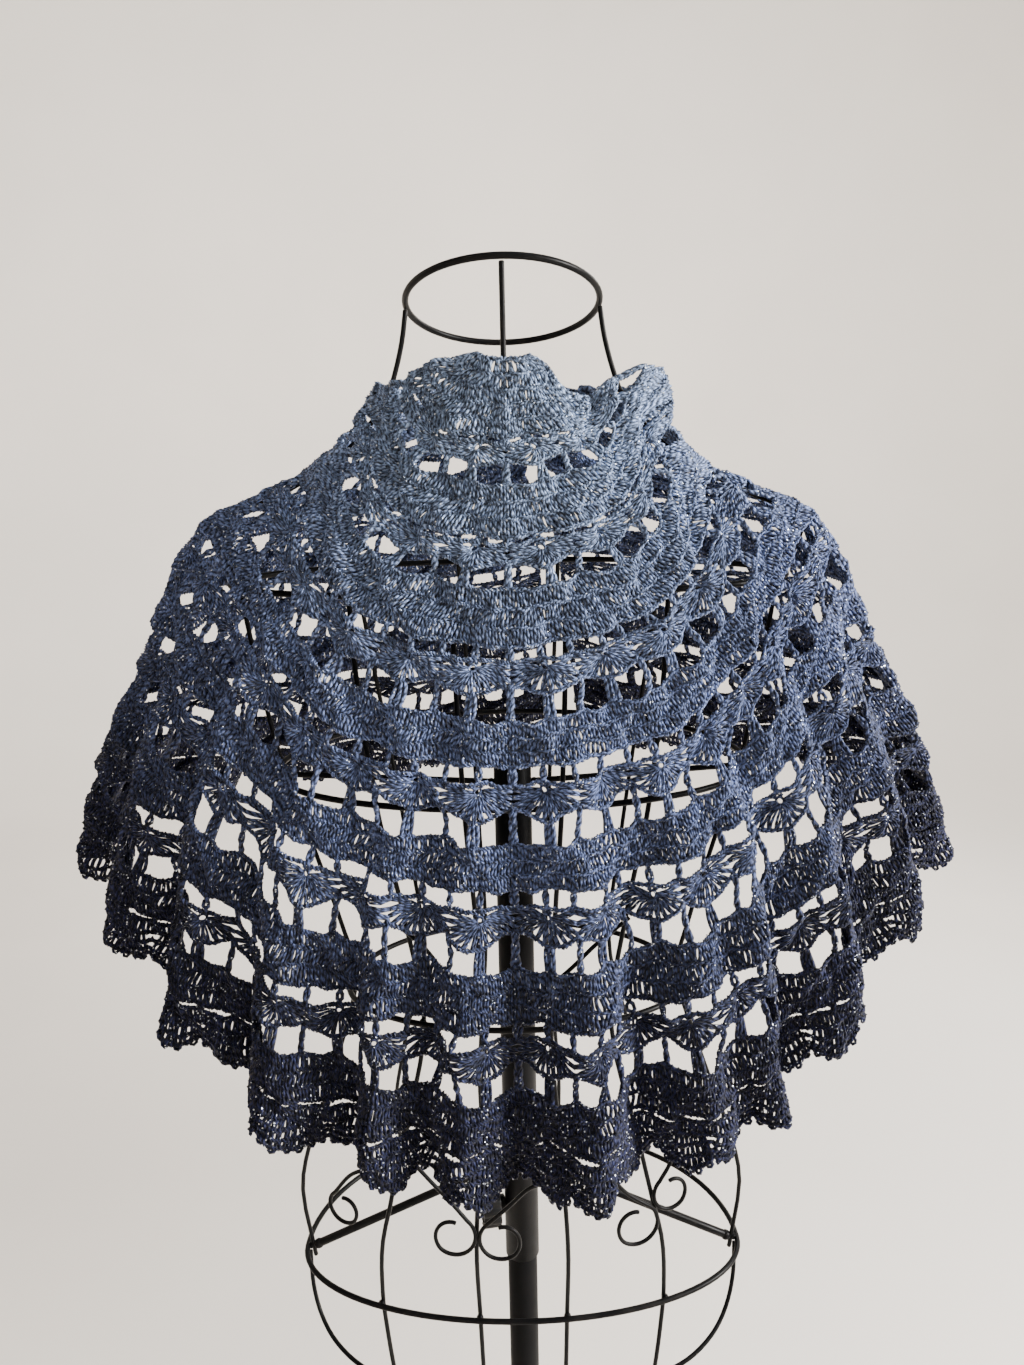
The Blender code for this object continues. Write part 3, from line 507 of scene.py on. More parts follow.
class ClothMap:
    """Places on one wing of the draped cloth, and which way is out there."""

    ROWS = 236
    COLUMNS = 1201
    LAST_ROW = SHAWL_DEPTH + 0.004

    def __init__(self, side):
        self.rows = np.linspace(0.5 * START_ROW, self.LAST_ROW, self.ROWS)
        shares = np.linspace(0.0, 1.0, self.COLUMNS)
        self.points = np.stack([row_points(distance, side, shares) for distance in self.rows])
        along = np.gradient(self.points, axis=1)
        down = np.gradient(self.points, axis=0)
        self.out = unit(-side * np.cross(along, down))
        steps = np.linalg.norm(np.diff(self.points, axis=1), axis=2)
        self.lengths = steps.sum(axis=1)

    def row_length(self, distance):
        return np.interp(distance, self.rows, self.lengths)

    def at(self, distance, share):
        """Points and outward directions at distances from the start and shares of the row."""
        spacing = self.rows[1] - self.rows[0]
        row = np.clip((distance - self.rows[0]) / spacing, 0.0, self.ROWS - 1.0001)
        column = np.clip(share, 0.0, 1.0) * (self.COLUMNS - 1.0001)
        i, j = row.astype(int), column.astype(int)
        u, v = (row - i)[..., None], (column - j)[..., None]

        def blend(grid):
            upper = grid[i, j] * (1 - v) + grid[i, j + 1] * v
            lower = grid[i + 1, j] * (1 - v) + grid[i + 1, j + 1] * v
            return upper * (1 - u) + lower * u

        return blend(self.points), blend(self.out)

    def area(self, first, last):
        """Flat area of the cloth between two distances."""
        distances = np.linspace(first, last, 60)
        lengths = self.row_length(distances)
        return float(np.sum(0.5 * (lengths[1:] + lengths[:-1]) * np.diff(distances)))


# Yarn

# A strand's cross-section: its sides, and its width and height as shares of its radius.
# Closed rings of it turn by the last share of a ply from point to point
YARN_SIDES = 3
YARN_WIDTH = 1.15
YARN_HEIGHT = 0.95
CLOSED_STEP = 0.4


class YarnWork:
    """Strands of yarn worked over one wing, gathered into one mesh."""

    def __init__(self, cloth, settings, seed):
        self.cloth = cloth
        self.settings = settings
        self.random = np.random.default_rng(seed)
        self.batches = []
        self.tops = []

    def lay(self, distance, share, out, thickness=1.0, closed=False, on_top=False, twist=1):
        """Lay strands side by side: a row of each array for a strand, a column for a point."""
        distance, share, out, thickness = np.broadcast_arrays(distance, share, out, thickness)
        along, down, bulge = self.unevenness(distance, share)
        points, normals = self.cloth.at(distance + down, share + along)
        out = out + bulge
        points = points + out[..., None] * normals
        if closed:
            tangents = unit(np.roll(points, -1, axis=1) - np.roll(points, 1, axis=1))
        else:
            tangents = unit(np.gradient(points, axis=1))
        across = unit(np.cross(tangents, normals))
        upward = np.cross(across, tangents)
        turns = 0.5 * math.pi + 2 * math.pi * np.arange(YARN_SIDES) / YARN_SIDES
        ring = YARN_WIDTH * np.cos(turns)[:, None] * across[:, :, None]
        ring = ring + YARN_HEIGHT * np.sin(turns)[:, None] * upward[:, :, None]
        radius = (thickness * self.settings.strand)[:, :, None, None]
        steps = np.linalg.norm(np.diff(points, axis=1), axis=2)
        run = np.concatenate([np.zeros((len(points), 1)), np.cumsum(steps, axis=1)], axis=1)
        batches = self.tops if on_top else self.batches
        batches.append((points[:, :, None] + radius * ring, twist * run, distance, closed))

    def unevenness(self, distance, share):
        """Shifts of the work along its rows, down and outwards, as no two stitches are alike."""
        length = self.cloth.row_length(distance)
        place = share * length
        shifts = [np.zeros_like(place) for _ in range(3)]
        for wave_along, wave_down, start, *heights in UNEVENNESS:
            wave = np.sin(2 * math.pi * (place / wave_along + distance / wave_down) + start)
            shifts = [shift + height * wave for shift, height in zip(shifts, heights)]
        fade = np.clip(place / UNEVEN_FROM, 0.0, 1.0)
        return shifts[0] * fade / length, shifts[1] * fade, shifts[2] * fade

    def edge_length(self, edge):
        """Length of the row that an edge follows, taken half way along it."""
        return float(self.cloth.row_length(edge(np.array([0.5])))[0])

    def posts(self, from_row, from_share, to_row, to_share, spread=(1.0, 1.0), turns=1.0, steps=4,
              lift=0.0, thickness=1.0):
        """Tall stitches: two strands each, which turn round each other on the way."""
        shape = np.broadcast(from_row, from_share, to_row, to_share).shape
        from_row, from_share, to_row, to_share = (
            np.broadcast_to(value, shape)[:, None]
            for value in (from_row, from_share, to_row, to_share)
        )
        way = np.linspace(0.0, 1.0, steps)[None, :]
        row = from_row + (to_row - from_row) * way
        share = from_share + (to_share - from_share) * way
        length = self.cloth.row_length(row)
        across = (to_share - from_share) * length
        down = to_row - from_row
        size = np.maximum(np.hypot(across, down), 1e-9)
        strand = self.settings.strand
        width = strand * (spread[0] + (spread[1] - spread[0]) * way)
        width = width * self.random.uniform(0.85, 1.15, (shape[0], 1))
        height = strand * POST_DEPTH * self.random.uniform(0.8, 1.3, (shape[0], 1))
        sway = self.random.normal(0.0, POST_LOOSE, (shape[0], 1)) * strand * np.sin(math.pi * way)
        raised = self.random.normal(0.0, POST_RAISED, (shape[0], 1)) * strand
        for first in (0.0, math.pi):
            phase = math.pi * turns * (way - 0.5) + first
            aside = width * np.cos(phase) + sway
            out = height * np.sin(phase) * np.sin(math.pi * way) ** 0.4 + raised + lift
            self.lay(
                row - aside * across / size, share + aside * down / size / length, out, thickness,
                twist=-1 if turns < 0 else 1,
            )

    def ridge(self, edge, wave=0.80, lift=0.0003, thickness=0.85):
        """A chain of loops along a row: two strands that turn round each other at each stitch."""
        count = max(2, round(self.edge_length(edge) / self.settings.stitch)) * 3 + 1
        share = np.linspace(0.0, 1.0, count)
        strand = self.settings.strand
        rough = self.random.normal(0.0, RIDGE_LOOSE, (2, count)) * strand
        for number, turn in enumerate((0.0, math.pi)):
            phase = 2 * math.pi * np.arange(count) / 3 + turn + 0.5
            row = edge(share) + wave * strand * np.cos(phase) + rough[number]
            out = RIDGE_DEPTH * strand * np.sin(phase) + lift
            self.lay(row[None], share[None], out[None], thickness, on_top=True)

    def wing_edge(self, first, last):
        """A cord of two strands along the neck edge and the wing's end."""
        rows = np.linspace(first, last, 200)
        points, _ = self.cloth.at(rows, np.ones_like(rows))
        run = run_along(points)
        count = max(2, round(run[-1] / self.settings.stitch)) * 4 + 1
        row = np.interp(np.linspace(0.0, run[-1], count), run, rows)
        strand = self.settings.strand
        inset = strand * 1.2 / self.cloth.row_length(row)
        for turn in (0.0, math.pi):
            phase = 2 * math.pi * np.arange(count) / 4 + turn
            share = 1.0 - inset * (1 + 0.8 * np.cos(phase))
            out = 0.9 * strand * np.sin(phase)
            self.lay(row[None], share[None], out[None], 0.9, on_top=True)

    def loops(self, row, share, radius, points=8, thickness=0.8):
        """Small closed rings of yarn round the hole at each shell's point."""
        angle = 2 * math.pi * np.arange(points) / points
        rows = row[:, None] + radius * np.sin(angle)
        shares = share[:, None] + radius * np.cos(angle) / self.cloth.row_length(rows)
        self.lay(rows, shares, 0.3 * self.settings.strand, thickness, closed=True, on_top=True)

    def finish(self, name, material, batches):
        """One mesh of the strands, with the yarn's run and turn as its UV map."""
        corners, faces, wraps, tints, shares = [], [], [], [], []
        base = 0
        sides = np.arange(YARN_SIDES)
        low, high = sides / YARN_SIDES, (sides + 1) / YARN_SIDES
        for rings, run, distance, closed in batches:
            strands, count = rings.shape[:2]
            spots = base + np.arange(strands * count * YARN_SIDES).reshape(strands, count, YARN_SIDES)
            along = run / self.settings.ply + self.random.uniform(0.0, 1.0, (strands, 1))
            if closed:
                here, there = spots, np.roll(spots, -1, axis=1)
                along_here, along_there = along, along + CLOSED_STEP
            else:
                here, there = spots[:, :-1], spots[:, 1:]
                along_here, along_there = along[:, :-1], along[:, 1:]
            after_here, after_there = np.roll(here, -1, axis=2), np.roll(there, -1, axis=2)
            faces.append(np.stack([here, there, after_there, after_here], axis=-1).reshape(-1, 4))
            u_here, u_there, v_low, v_high = (
                np.broadcast_to(value, here.shape)
                for value in (along_here[..., None], along_there[..., None], low, high)
            )
            wrap = [(u_here, v_low), (u_there, v_low), (u_there, v_high), (u_here, v_high)]
            wraps.append(np.stack([np.stack(pair, axis=-1) for pair in wrap], axis=-2).reshape(-1, 2))
            if not closed:
                faces.append(np.concatenate([spots[:, 0], spots[:, -1, ::-1]]))
                ends = np.concatenate([along[:, 0], along[:, -1]])[:, None]
                wraps.append(np.stack(np.broadcast_arrays(ends, low), axis=-1).reshape(-1, 2))
            corners.append(rings.reshape(-1, 3))
            shares.append(np.repeat(distance.ravel() / SHAWL_DEPTH, YARN_SIDES))
            tint = np.broadcast_to(self.random.uniform(0.0, 1.0, (strands, 1)), (strands, count))
            tints.append(np.repeat(tint.ravel(), YARN_SIDES))
            base += strands * count * YARN_SIDES
        sizes = np.concatenate([np.full(len(part), part.shape[1]) for part in faces])
        spots = np.concatenate([part.ravel() for part in faces])
        corners, wraps = np.concatenate(corners), np.concatenate(wraps)
        mesh = bpy.data.meshes.new(name)
        mesh.vertices.add(len(corners))
        mesh.vertices.foreach_set("co", corners.astype(np.float32).ravel())
        mesh.loops.add(len(spots))
        mesh.loops.foreach_set("vertex_index", spots.astype(np.int32))
        mesh.polygons.add(len(sizes))
        starts = np.concatenate([[0], np.cumsum(sizes)[:-1]])
        mesh.polygons.foreach_set("loop_start", starts.astype(np.int32))
        mesh.update(calc_edges=True)
        mesh.uv_layers.new(name="yarn")
        mesh.uv_layers["yarn"].data.foreach_set("uv", wraps.astype(np.float32).ravel())
        for label, values in (("row_share", shares), ("strand_tint", tints)):
            layer = mesh.attributes.new(label, "FLOAT", "POINT")
            layer.data.foreach_set("value", np.concatenate(values).astype(np.float32))
        mesh.shade_smooth()
        mesh.materials.append(material)
        thing = bpy.data.objects.new(name, mesh)
        bpy.context.scene.collection.objects.link(thing)
        return thing


def shell_knots(shells, offset, tip):
    """Shares of the places where shells meet and of their tips, in turn along a row."""
    meets = (np.arange(shells + 1) + offset) / shells
    meets[0], meets[-1] = 0.0, 1.0
    tips = (np.arange(shells) + tip) / shells
    knots = np.empty(2 * shells + 1)
    knots[0::2], knots[1::2] = meets, tips
    return knots


def scallop(knots, high, low):
    """An edge that runs from high, where shells meet, down to low at their tips."""
    turn = np.arange(len(knots)) % 2

    def edge(share):
        return high + (low - high) * np.interp(share, knots, turn) ** SHELL_ROUNDNESS

    return edge


def sagging(knots, distance, rise):
    """An edge that hangs between the posts at the knots, and is drawn up at each of them."""
    def edge(share):
        place = np.interp(share, knots, np.arange(len(knots)))
        return distance - rise * (1 - np.sin(math.pi * (place % 1.0)) ** 0.6)

    return edge


def between(upper, lower, part):
    return lambda share: upper(share) * (1 - part) + lower(share) * part


def level(distance):
    return lambda share: np.full_like(share, distance)


def clear_of_middle(work, meets, row, distance):
    """The places where shells meet, with the first kept off the middle of the shawlette."""
    places = meets.copy()
    places[0] = distance / work.cloth.row_length(row)
    return places


def solid_rows(work, upper, lower, rows):
    """Rows of tall stitches from one edge to another, each ending in a ridge of loops."""
    for number in range(rows):
        way = 1 if number % 2 else -1
        top = between(upper, lower, number / rows)
        bottom = between(upper, lower, (number + 1) / rows)
        length = work.edge_length(bottom)
        count = max(3, round(length / work.settings.stitch))
        share = evenly(count)
        leaning = 0.25 * way * np.clip(share / 0.02, 0.0, 1.0) / count
        work.posts(
            top(share), share - 0.5 * leaning, bottom(share), share + 0.5 * leaning,
            spread=(1.05, 1.05), turns=0.66 * way,
            thickness=1.0 if length < FINE_ROWS_TO else FULL_STRAND,
        )
        work.ridge(bottom)


def shell_fans(work, knots, point, edge, side_top):
    """Shells: tall stitches that spread from one point, out to the edge and to the next shell."""
    shells = len(knots) // 2
    tips, meets = knots[1::2], knots[0::2]
    length = work.cloth.row_length(point)
    half = 0.5 * length / shells
    ways = np.linspace(-1.0, 1.0, 81)
    side_low, tip_low = edge(meets[1:2]), edge(tips[:1])
    under = side_low + (tip_low - side_low) * (1 - np.abs(ways)) ** SHELL_ROUNDNESS
    outline = np.array([(-1.0, side_top), *zip(ways, under), (1.0, side_top)])
    steps = np.hypot(np.diff(outline[:, 0]) * half, np.diff(outline[:, 1]))
    run = np.concatenate([[0.0], np.cumsum(steps)])
    count = max(7, round(run[-1] / (SHELL_SPACING * work.settings.stitch)))
    marks = evenly(count) * run[-1]
    aside = np.interp(marks, run, outline[:, 0])[None, :]
    low = np.interp(marks, run, outline[:, 1])[None, :]
    left, right = (tips - meets[:-1])[:, None], (meets[1:] - tips)[:, None]
    to_share = tips[:, None] + aside * np.where(aside < 0, left, right)
    loose = work.random.normal(0.0, SHELL_LOOSE, to_share.shape)
    to_row = np.broadcast_to(low, to_share.shape) + loose
    across = (to_share - tips[:, None]) * length
    down = to_row - point
    size = np.hypot(across, down)
    from_share = tips[:, None] + across / size * SHELL_START / length
    from_row = point + down / size * SHELL_START
    work.posts(
        from_row.ravel(), from_share.ravel(), to_row.ravel(), to_share.ravel(),
        spread=(0.4, 0.9), turns=0.8, steps=5, lift=0.0004,
        thickness=np.linspace(0.5, 0.92, 5)[None, :],
    )
    work.loops(np.full(shells, point), tips, RING_RADIUS)


def lace_repeat(work, number):
    """One repeat: squares, shells, large holes and the solid rows below them."""
    first_row, shells, half_gap, point, meet, tip, holes_to = LACE_REPEATS[number]
    length = STARTS[number + 1] - first_row
    point_row = first_row + point * length
    holes_row = first_row + holes_to * length
    next_gap = SLITS[number + 1]
    knots = shell_knots(shells, SHELL_OFFSET, SHELL_TIP)
    meets, tips = knots[0::2], knots[1::2]
    strand = work.settings.strand
    gap_bottom = sagging(knots, first_row + half_gap + SLIT_DROP, SLIT_SAG)
    work.ridge(gap_bottom)
    bars(work, knots, SLITS[number], gap_bottom, point_row - SMALL_HOLE)
    edge = scallop(knots, first_row + meet * length, first_row + tip * length)
    shell_fans(work, knots, point_row, edge, first_row + half_gap + SHELL_SIDE)
    work.ridge(edge)
    holes_end = sagging(knots, holes_row + HOLE_DROP, HOLE_SAG)
    inner = clear_of_middle(work, meets, first_row, POST_OFF_MIDDLE)
    swayed = inner + work.random.normal(0, POST_SWAY, len(inner))
    work.posts(
        edge(inner) - strand, inner, holes_end(inner) + strand, swayed,
        spread=(0.85, 0.95), turns=3.0, steps=8, thickness=1.15,
    )
    for aside in (-POST_PAIR, POST_PAIR):
        share = tips + aside / work.cloth.row_length(edge(tips))
        work.posts(
            edge(share) - strand, tips + 0.5 * (share - tips), holes_end(share) + strand, share,
            spread=(0.95, 1.05), turns=0.7, steps=5, thickness=1.1,
        )
    work.ridge(holes_end)
    solid = max(2, round((next_gap - holes_row) / work.settings.row))
    solid_rows(work, holes_end, level(next_gap), solid)
    return next_gap


def bars(work, knots, top, bottom, point_row=0.0):
    """The twisted bars between the squares. Those over a shell part round its small hole."""
    tips = knots[1::2]
    strand = work.settings.strand
    inner = clear_of_middle(work, knots[0::2], top, BAR_OFF_MIDDLE)
    straight = (inner, bottom(inner) + strand, 0.9)
    parting = (tips, np.maximum(bottom(tips), point_row), 1.9)
    for places, low, width in (straight, parting):
        work.posts(
            top - strand, places, low, places, spread=(0.9, width), turns=2.0, steps=6,
            thickness=1.1,
        )


def scalloped_hem(share):
    """The hem: a scallop below each shell of the edging."""
    place = (share * EDGING_SHELLS) % 1.0
    hang = np.sin(math.pi * place) ** 0.7
    return SHAWL_DEPTH - HEM_INSET - SCALLOP_DEPTH * (1 - hang)


def row_in_scallops(start, part):
    """A row of loops inside the scallops, a part of the way from a row to the hem."""
    return lambda share: start + part * (scalloped_hem(share) - start)


def edging_rows(work):
    """The edging: a row of slits, a solid row, and shells that end in picots."""
    knots = shell_knots(EDGING_SHELLS, 0.0, 0.5)
    gap_bottom = sagging(knots, EDGING_START + EDGING_GAP + SLIT_DROP, SLIT_SAG)
    work.ridge(gap_bottom)
    bars(work, knots, SLITS[-1], gap_bottom)
    band_end = EDGING_START + EDGING_BAND
    solid_rows(work, gap_bottom, level(band_end), 1)
    share = evenly(EDGING_POSTS * EDGING_SHELLS)
    place = (share * EDGING_SHELLS) % 1.0
    gathered = share + GATHER * (0.5 - place) / EDGING_SHELLS
    work.posts(
        band_end, gathered, scalloped_hem(share), share, spread=(1.0, 1.3), turns=0.5, steps=5,
    )
    for part in EDGING_RIDGES:
        work.ridge(row_in_scallops(band_end, part), wave=0.95, lift=0.0004)
    work.ridge(scalloped_hem, wave=0.9, thickness=0.95)
    share = evenly(EDGING_PICOTS * EDGING_SHELLS)
    row = scalloped_hem(share) + work.settings.strand
    work.loops(row, share, PICOT_RADIUS, points=6, thickness=0.9)
    return SLITS[-1], SHAWL_DEPTH


def start_rows(work):
    """The first rows at the neck, up to the first slits."""
    first = level(START_ROW + 0.001)
    work.ridge(first)
    solid_rows(work, first, level(SLITS[0]), START_ROWS)


# Materials

def feed(tree, socket, value):
    """Set a socket to a number or a colour, or link another node's output to it."""
    if isinstance(value, (int, float, tuple)):
        socket.default_value = value
    else:
        tree.links.new(value, socket)


def new_group(name, inputs, outputs):
    """An empty shader node group, its inputs by name and default and its outputs by name."""
    group = bpy.data.node_groups.new(name, "ShaderNodeTree")
    for label, default in inputs.items():
        kind = "NodeSocketColor" if isinstance(default, tuple) else "NodeSocketFloat"
        socket = group.interface.new_socket(label, in_out="INPUT", socket_type=kind)
        socket.default_value = default
    for label in outputs:
        kind = "NodeSocketColor" if label == "Color" else "NodeSocketFloat"
        group.interface.new_socket(label, in_out="OUTPUT", socket_type=kind)
    given, wanted = group.nodes.new("NodeGroupInput"), group.nodes.new("NodeGroupOutput")
    return group, given.outputs, wanted.inputs


def add_math(tree, operation, *values, clamp=False):
    node = tree.nodes.new("ShaderNodeMath")
    node.operation = operation
    node.use_clamp = clamp
    for socket, value in zip(node.inputs, values):
        feed(tree, socket, value)
    return node.outputs[0]


def add_mix(tree, factor, first, second, blend="MIX"):
    node = tree.nodes.new("ShaderNodeMix")
    node.data_type = "RGBA"
    node.blend_type = blend
    sockets = {socket.identifier: socket for socket in (*node.inputs, *node.outputs)}
    for label, value in (("Factor_Float", factor), ("A_Color", first), ("B_Color", second)):
        feed(tree, sockets[label], value)
    return sockets["Result_Color"]


def add_range(tree, value, low, high, to_low=0.0, to_high=1.0):
    node = tree.nodes.new("ShaderNodeMapRange")
    node.interpolation_type = "SMOOTHSTEP"
    values = {"Value": value, "From Min": low, "From Max": high, "To Min": to_low, "To Max": to_high}
    for label, number in values.items():
        feed(tree, node.inputs[label], number)
    return node.outputs["Result"]


def add_noise(tree, place, scale, detail=2.0, roughness=0.5):
    node = tree.nodes.new("ShaderNodeTexNoise")
    values = {"Vector": place, "Scale": scale, "Detail": detail, "Roughness": roughness}
    for label, value in values.items():
        feed(tree, node.inputs[label], value)
    return node.outputs["Fac"]


def add_attribute(tree, name):
    node = tree.nodes.new("ShaderNodeAttribute")
    node.attribute_name = name
    return node.outputs["Fac"]


def add_grey(tree, value):
    node = tree.nodes.new("ShaderNodeCombineColor")
    for socket in node.inputs:
        feed(tree, socket, value)
    return node.outputs[0]


def object_coordinates(tree):
    return tree.nodes.new("ShaderNodeTexCoord").outputs["Object"]


def yarn_group():
    """Heathered, plied yarn with a metallic thread: colour, with painted shade in the ply grooves and
    painted glints on the thread's flecks, gloss and height.
    """
    tree, ins, outs = new_group(
        "Heathered yarn",
        {
            "Neck": (0.2, 0.2, 0.2, 1.0), "Middle": (0.1, 0.1, 0.1, 1.0),
            "Hem": (0.05, 0.05, 0.05, 1.0), "Glitter": (1.0, 1.0, 1.0, 1.0),
            "Heather Scale": 330.0, "Glitter Scale": 900.0, "Glitter Share": 0.03,
        },
        ("Color", "Roughness", "Metallic", "Height"),
    )
    place = object_coordinates(tree)
    row = add_attribute(tree, "row_share")
    upper = add_mix(tree, add_range(tree, row, 0.05, 0.55), ins["Neck"], ins["Middle"])
    ground = add_mix(tree, add_range(tree, row, 0.42, 0.95), upper, ins["Hem"])

    # Heather: light and dark fibres, strands of unlike shade and broad patches
    heather = add_noise(tree, place, ins["Heather Scale"], 3.0, 0.65)
    fibres = add_range(tree, heather, 0.30, 0.72, 0.40, 1.75)
    strands = add_math(tree, "MULTIPLY_ADD", add_attribute(tree, "strand_tint"), 0.65, 0.68)
    broad = add_range(tree, add_noise(tree, place, 26.0), 0.3, 0.7, 0.86, 1.12)
    shade = add_math(tree, "MULTIPLY", add_math(tree, "MULTIPLY", fibres, strands), broad)
    coloured = add_mix(tree, 1.0, ground, add_grey(tree, shade), "MULTIPLY")

    # Plies: a rope twist, from the run along a strand and the turn round it. The grooves between plies
    # darken the colour as painted shade, and their crowns lift it as a painted highlight
    wrap = tree.nodes.new("ShaderNodeUVMap")
    wrap.uv_map = "yarn"
    parts = tree.nodes.new("ShaderNodeSeparateXYZ")
    feed(tree, parts.inputs[0], wrap.outputs["UV"])
    turn = add_math(tree, "ADD", parts.outputs["X"], parts.outputs["Y"])
    ply = add_math(tree, "SINE", add_math(tree, "MULTIPLY", turn, 2 * math.pi))
    ply_high = add_math(tree, "MULTIPLY_ADD", ply, 0.5, 0.5)
    painted_ply_shading = add_range(tree, ply_high, 0.0, 0.7, 0.26, 1.20)
    # The colour is multiplied by painted shade in the ply grooves and a painted highlight on their
    # crowns
    coloured = add_mix(tree, 1.0, coloured, add_grey(tree, painted_ply_shading), "MULTIPLY")

    # Glitter: small flecks of the metallic thread. Their near-white base colour is partly the thread's
    # own colour and partly a painted glint, with a little metallic gloss as well
    flecks = tree.nodes.new("ShaderNodeTexVoronoi")
    feed(tree, flecks.inputs["Vector"], place)
    feed(tree, flecks.inputs["Scale"], ins["Glitter Scale"])
    random = tree.nodes.new("ShaderNodeSeparateColor")
    feed(tree, random.inputs[0], flecks.outputs["Color"])
    chosen = add_math(tree, "LESS_THAN", random.outputs[0], ins["Glitter Share"])
    inside = add_math(tree, "LESS_THAN", flecks.outputs["Distance"], 0.44)
    fleck = add_math(tree, "MULTIPLY", chosen, inside)

    fuzz = add_noise(tree, place, 2600.0)
    # The flecks' near-white colour is partly the metallic thread's own colour and partly a painted
    # glint
    feed(tree, outs["Color"], add_mix(tree, fleck, coloured, ins["Glitter"]))
    feed(tree, outs["Roughness"], add_range(tree, fleck, 0.0, 1.0, 0.72, 0.24))
    feed(tree, outs["Metallic"], add_math(tree, "MULTIPLY", fleck, 0.35))
    feed(tree, outs["Height"], add_math(tree, "MULTIPLY_ADD", fuzz, 0.35, ply_high))
    return tree


def enamel_group():
    """Black enamel or plastic: dust in patches, rubbed spots and an uneven gloss."""
    tree, ins, outs = new_group(
        "Worn black finish",
        {
            "Paint": (0.01, 0.01, 0.01, 1.0), "Dust": (0.05, 0.05, 0.05, 1.0),
            "Dust Amount": 0.35, "Grain Scale": 700.0, "Gloss": 0.30,
        },
        ("Color", "Roughness", "Height"),
    )
    place = object_coordinates(tree)
    patches = add_range(tree, add_noise(tree, place, 38.0, 4.0, 0.6), 0.46, 0.72)
    dust = add_math(tree, "MULTIPLY", patches, ins["Dust Amount"])
    grain = add_noise(tree, place, ins["Grain Scale"], 3.0, 0.6)
    rubbed = add_math(tree, "MULTIPLY", add_range(tree, grain, 0.62, 0.80), 0.35)
    mask = add_math(tree, "ADD", dust, rubbed, clamp=True)
    rough = add_math(tree, "MULTIPLY_ADD", mask, 0.4, ins["Gloss"])
    uneven = add_math(tree, "MULTIPLY_ADD", add_noise(tree, place, 150.0), 0.12, rough)
    feed(tree, outs["Color"], add_mix(tree, mask, ins["Paint"], ins["Dust"]))
    feed(tree, outs["Roughness"], uneven)
    feed(tree, outs["Height"], grain)
    return tree


def material_with(name, group, values, relief, levels):
    """A material of a group's colour, gloss and relief, which has a strength and a depth."""
    material = bpy.data.materials.new(name)
    material.use_nodes = True
    tree = material.node_tree
    shader = tree.nodes["Principled BSDF"]
    node = tree.nodes.new("ShaderNodeGroup")
    node.node_tree = group
    for label, value in values.items():
        node.inputs[label].default_value = value
    bump = tree.nodes.new("ShaderNodeBump")
    for label, value in zip(("Strength", "Distance"), relief):
        bump.inputs[label].default_value = value
    feed(tree, bump.inputs["Height"], node.outputs["Height"])
    feed(tree, shader.inputs["Normal"], bump.outputs["Normal"])
    targets = {"Color": "Base Color", "Roughness": "Roughness", "Metallic": "Metallic"}
    for label, target in targets.items():
        if label in node.outputs:
            feed(tree, shader.inputs[target], node.outputs[label])
    for label, value in levels.items():
        shader.inputs[label].default_value = value
    return material


def shared_group(name, make):
    return bpy.data.node_groups.get(name) or make()


def yarn_material(name, settings):
    values = {
        "Neck": (*settings.light, 1.0), "Middle": (*settings.middle, 1.0),
        "Hem": (*settings.dark, 1.0), "Glitter": (*settings.glitter_painted_glint, 1.0),
        "Glitter Share": GLITTER_SHARE[name],
    }
    levels = {"Specular IOR Level": 0.25, "Sheen Weight": 0.06, "Sheen Roughness": 0.45}
    group = shared_group("Heathered yarn", yarn_group)
    return material_with(name, group, values, (0.9, 0.0008), levels)


def enamel_material(name, paint, dust):
    amount, gloss, grain, specular = FINISHES[name]
    values = {
        "Paint": (*paint, 1.0), "Dust": (*dust, 1.0), "Dust Amount": amount, "Gloss": gloss,
        "Grain Scale": grain,
    }
    group = shared_group("Worn black finish", enamel_group)
    return material_with(name, group, values, (0.25, 0.0002), {"Specular IOR Level": specular})


# Wires

CAGE_HEIGHTS, *CAGE_REACHES = zip(*CAGE_SECTIONS)
HALF_WIDTH, NEAR_REACH, FAR_REACH = (smooth_table(CAGE_HEIGHTS, row) for row in CAGE_REACHES)


def cage_point(azimuth, height, out=0.0):
    """A point on the wire cage, or a distance outside it."""
    angle = math.radians(azimuth)
    reach = NEAR_REACH if math.cos(angle) > 0 else FAR_REACH
    half_width, depth = float(HALF_WIDTH(height)), float(reach(height))
    outward = Vector((math.sin(angle) / half_width, -math.cos(angle) / depth, 0.0)).normalized()
    on_cage = Vector((half_width * math.sin(angle), -depth * math.cos(angle), height))
    return on_cage + out * outward


def near_cage_point(across, height, out):
    """A point outside the cage's near side, from its place across and its height."""
    sine = max(-1.0, min(1.0, across / (float(HALF_WIDTH(height)) + out)))
    return cage_point(math.degrees(math.asin(sine)), height, out)


def smooth_route(points, steps):
    """Points of a smooth curve through a few given ones."""
    ends = [2 * points[0] - points[1]] + list(points) + [2 * points[-1] - points[-2]]
    route = []
    for a, b, c, d in zip(ends, ends[1:], ends[2:], ends[3:]):
        for step in range(steps):
            s = step / steps
            curve = 2 * b + (c - a) * s + (2 * a - 5 * b + 4 * c - d) * s ** 2
            route.append(0.5 * (curve + (3 * b - a - 3 * c + d) * s ** 3))
    route.append(points[-1])
    return route


def rim_height(azimuth):
    """Height of the lower rim where the upright at an azimuth stands on it."""
    across = abs(cage_point(azimuth, RIM_LOW + 0.006).x)
    return float(np.interp(across, [row[0] for row in RIM_HALF], [row[2] for row in RIM_HALF]))


def lean(height):
    """Degrees by which the outer near uprights turn inwards above the hips."""
    return float(np.interp(height, *zip(*LEAN)))


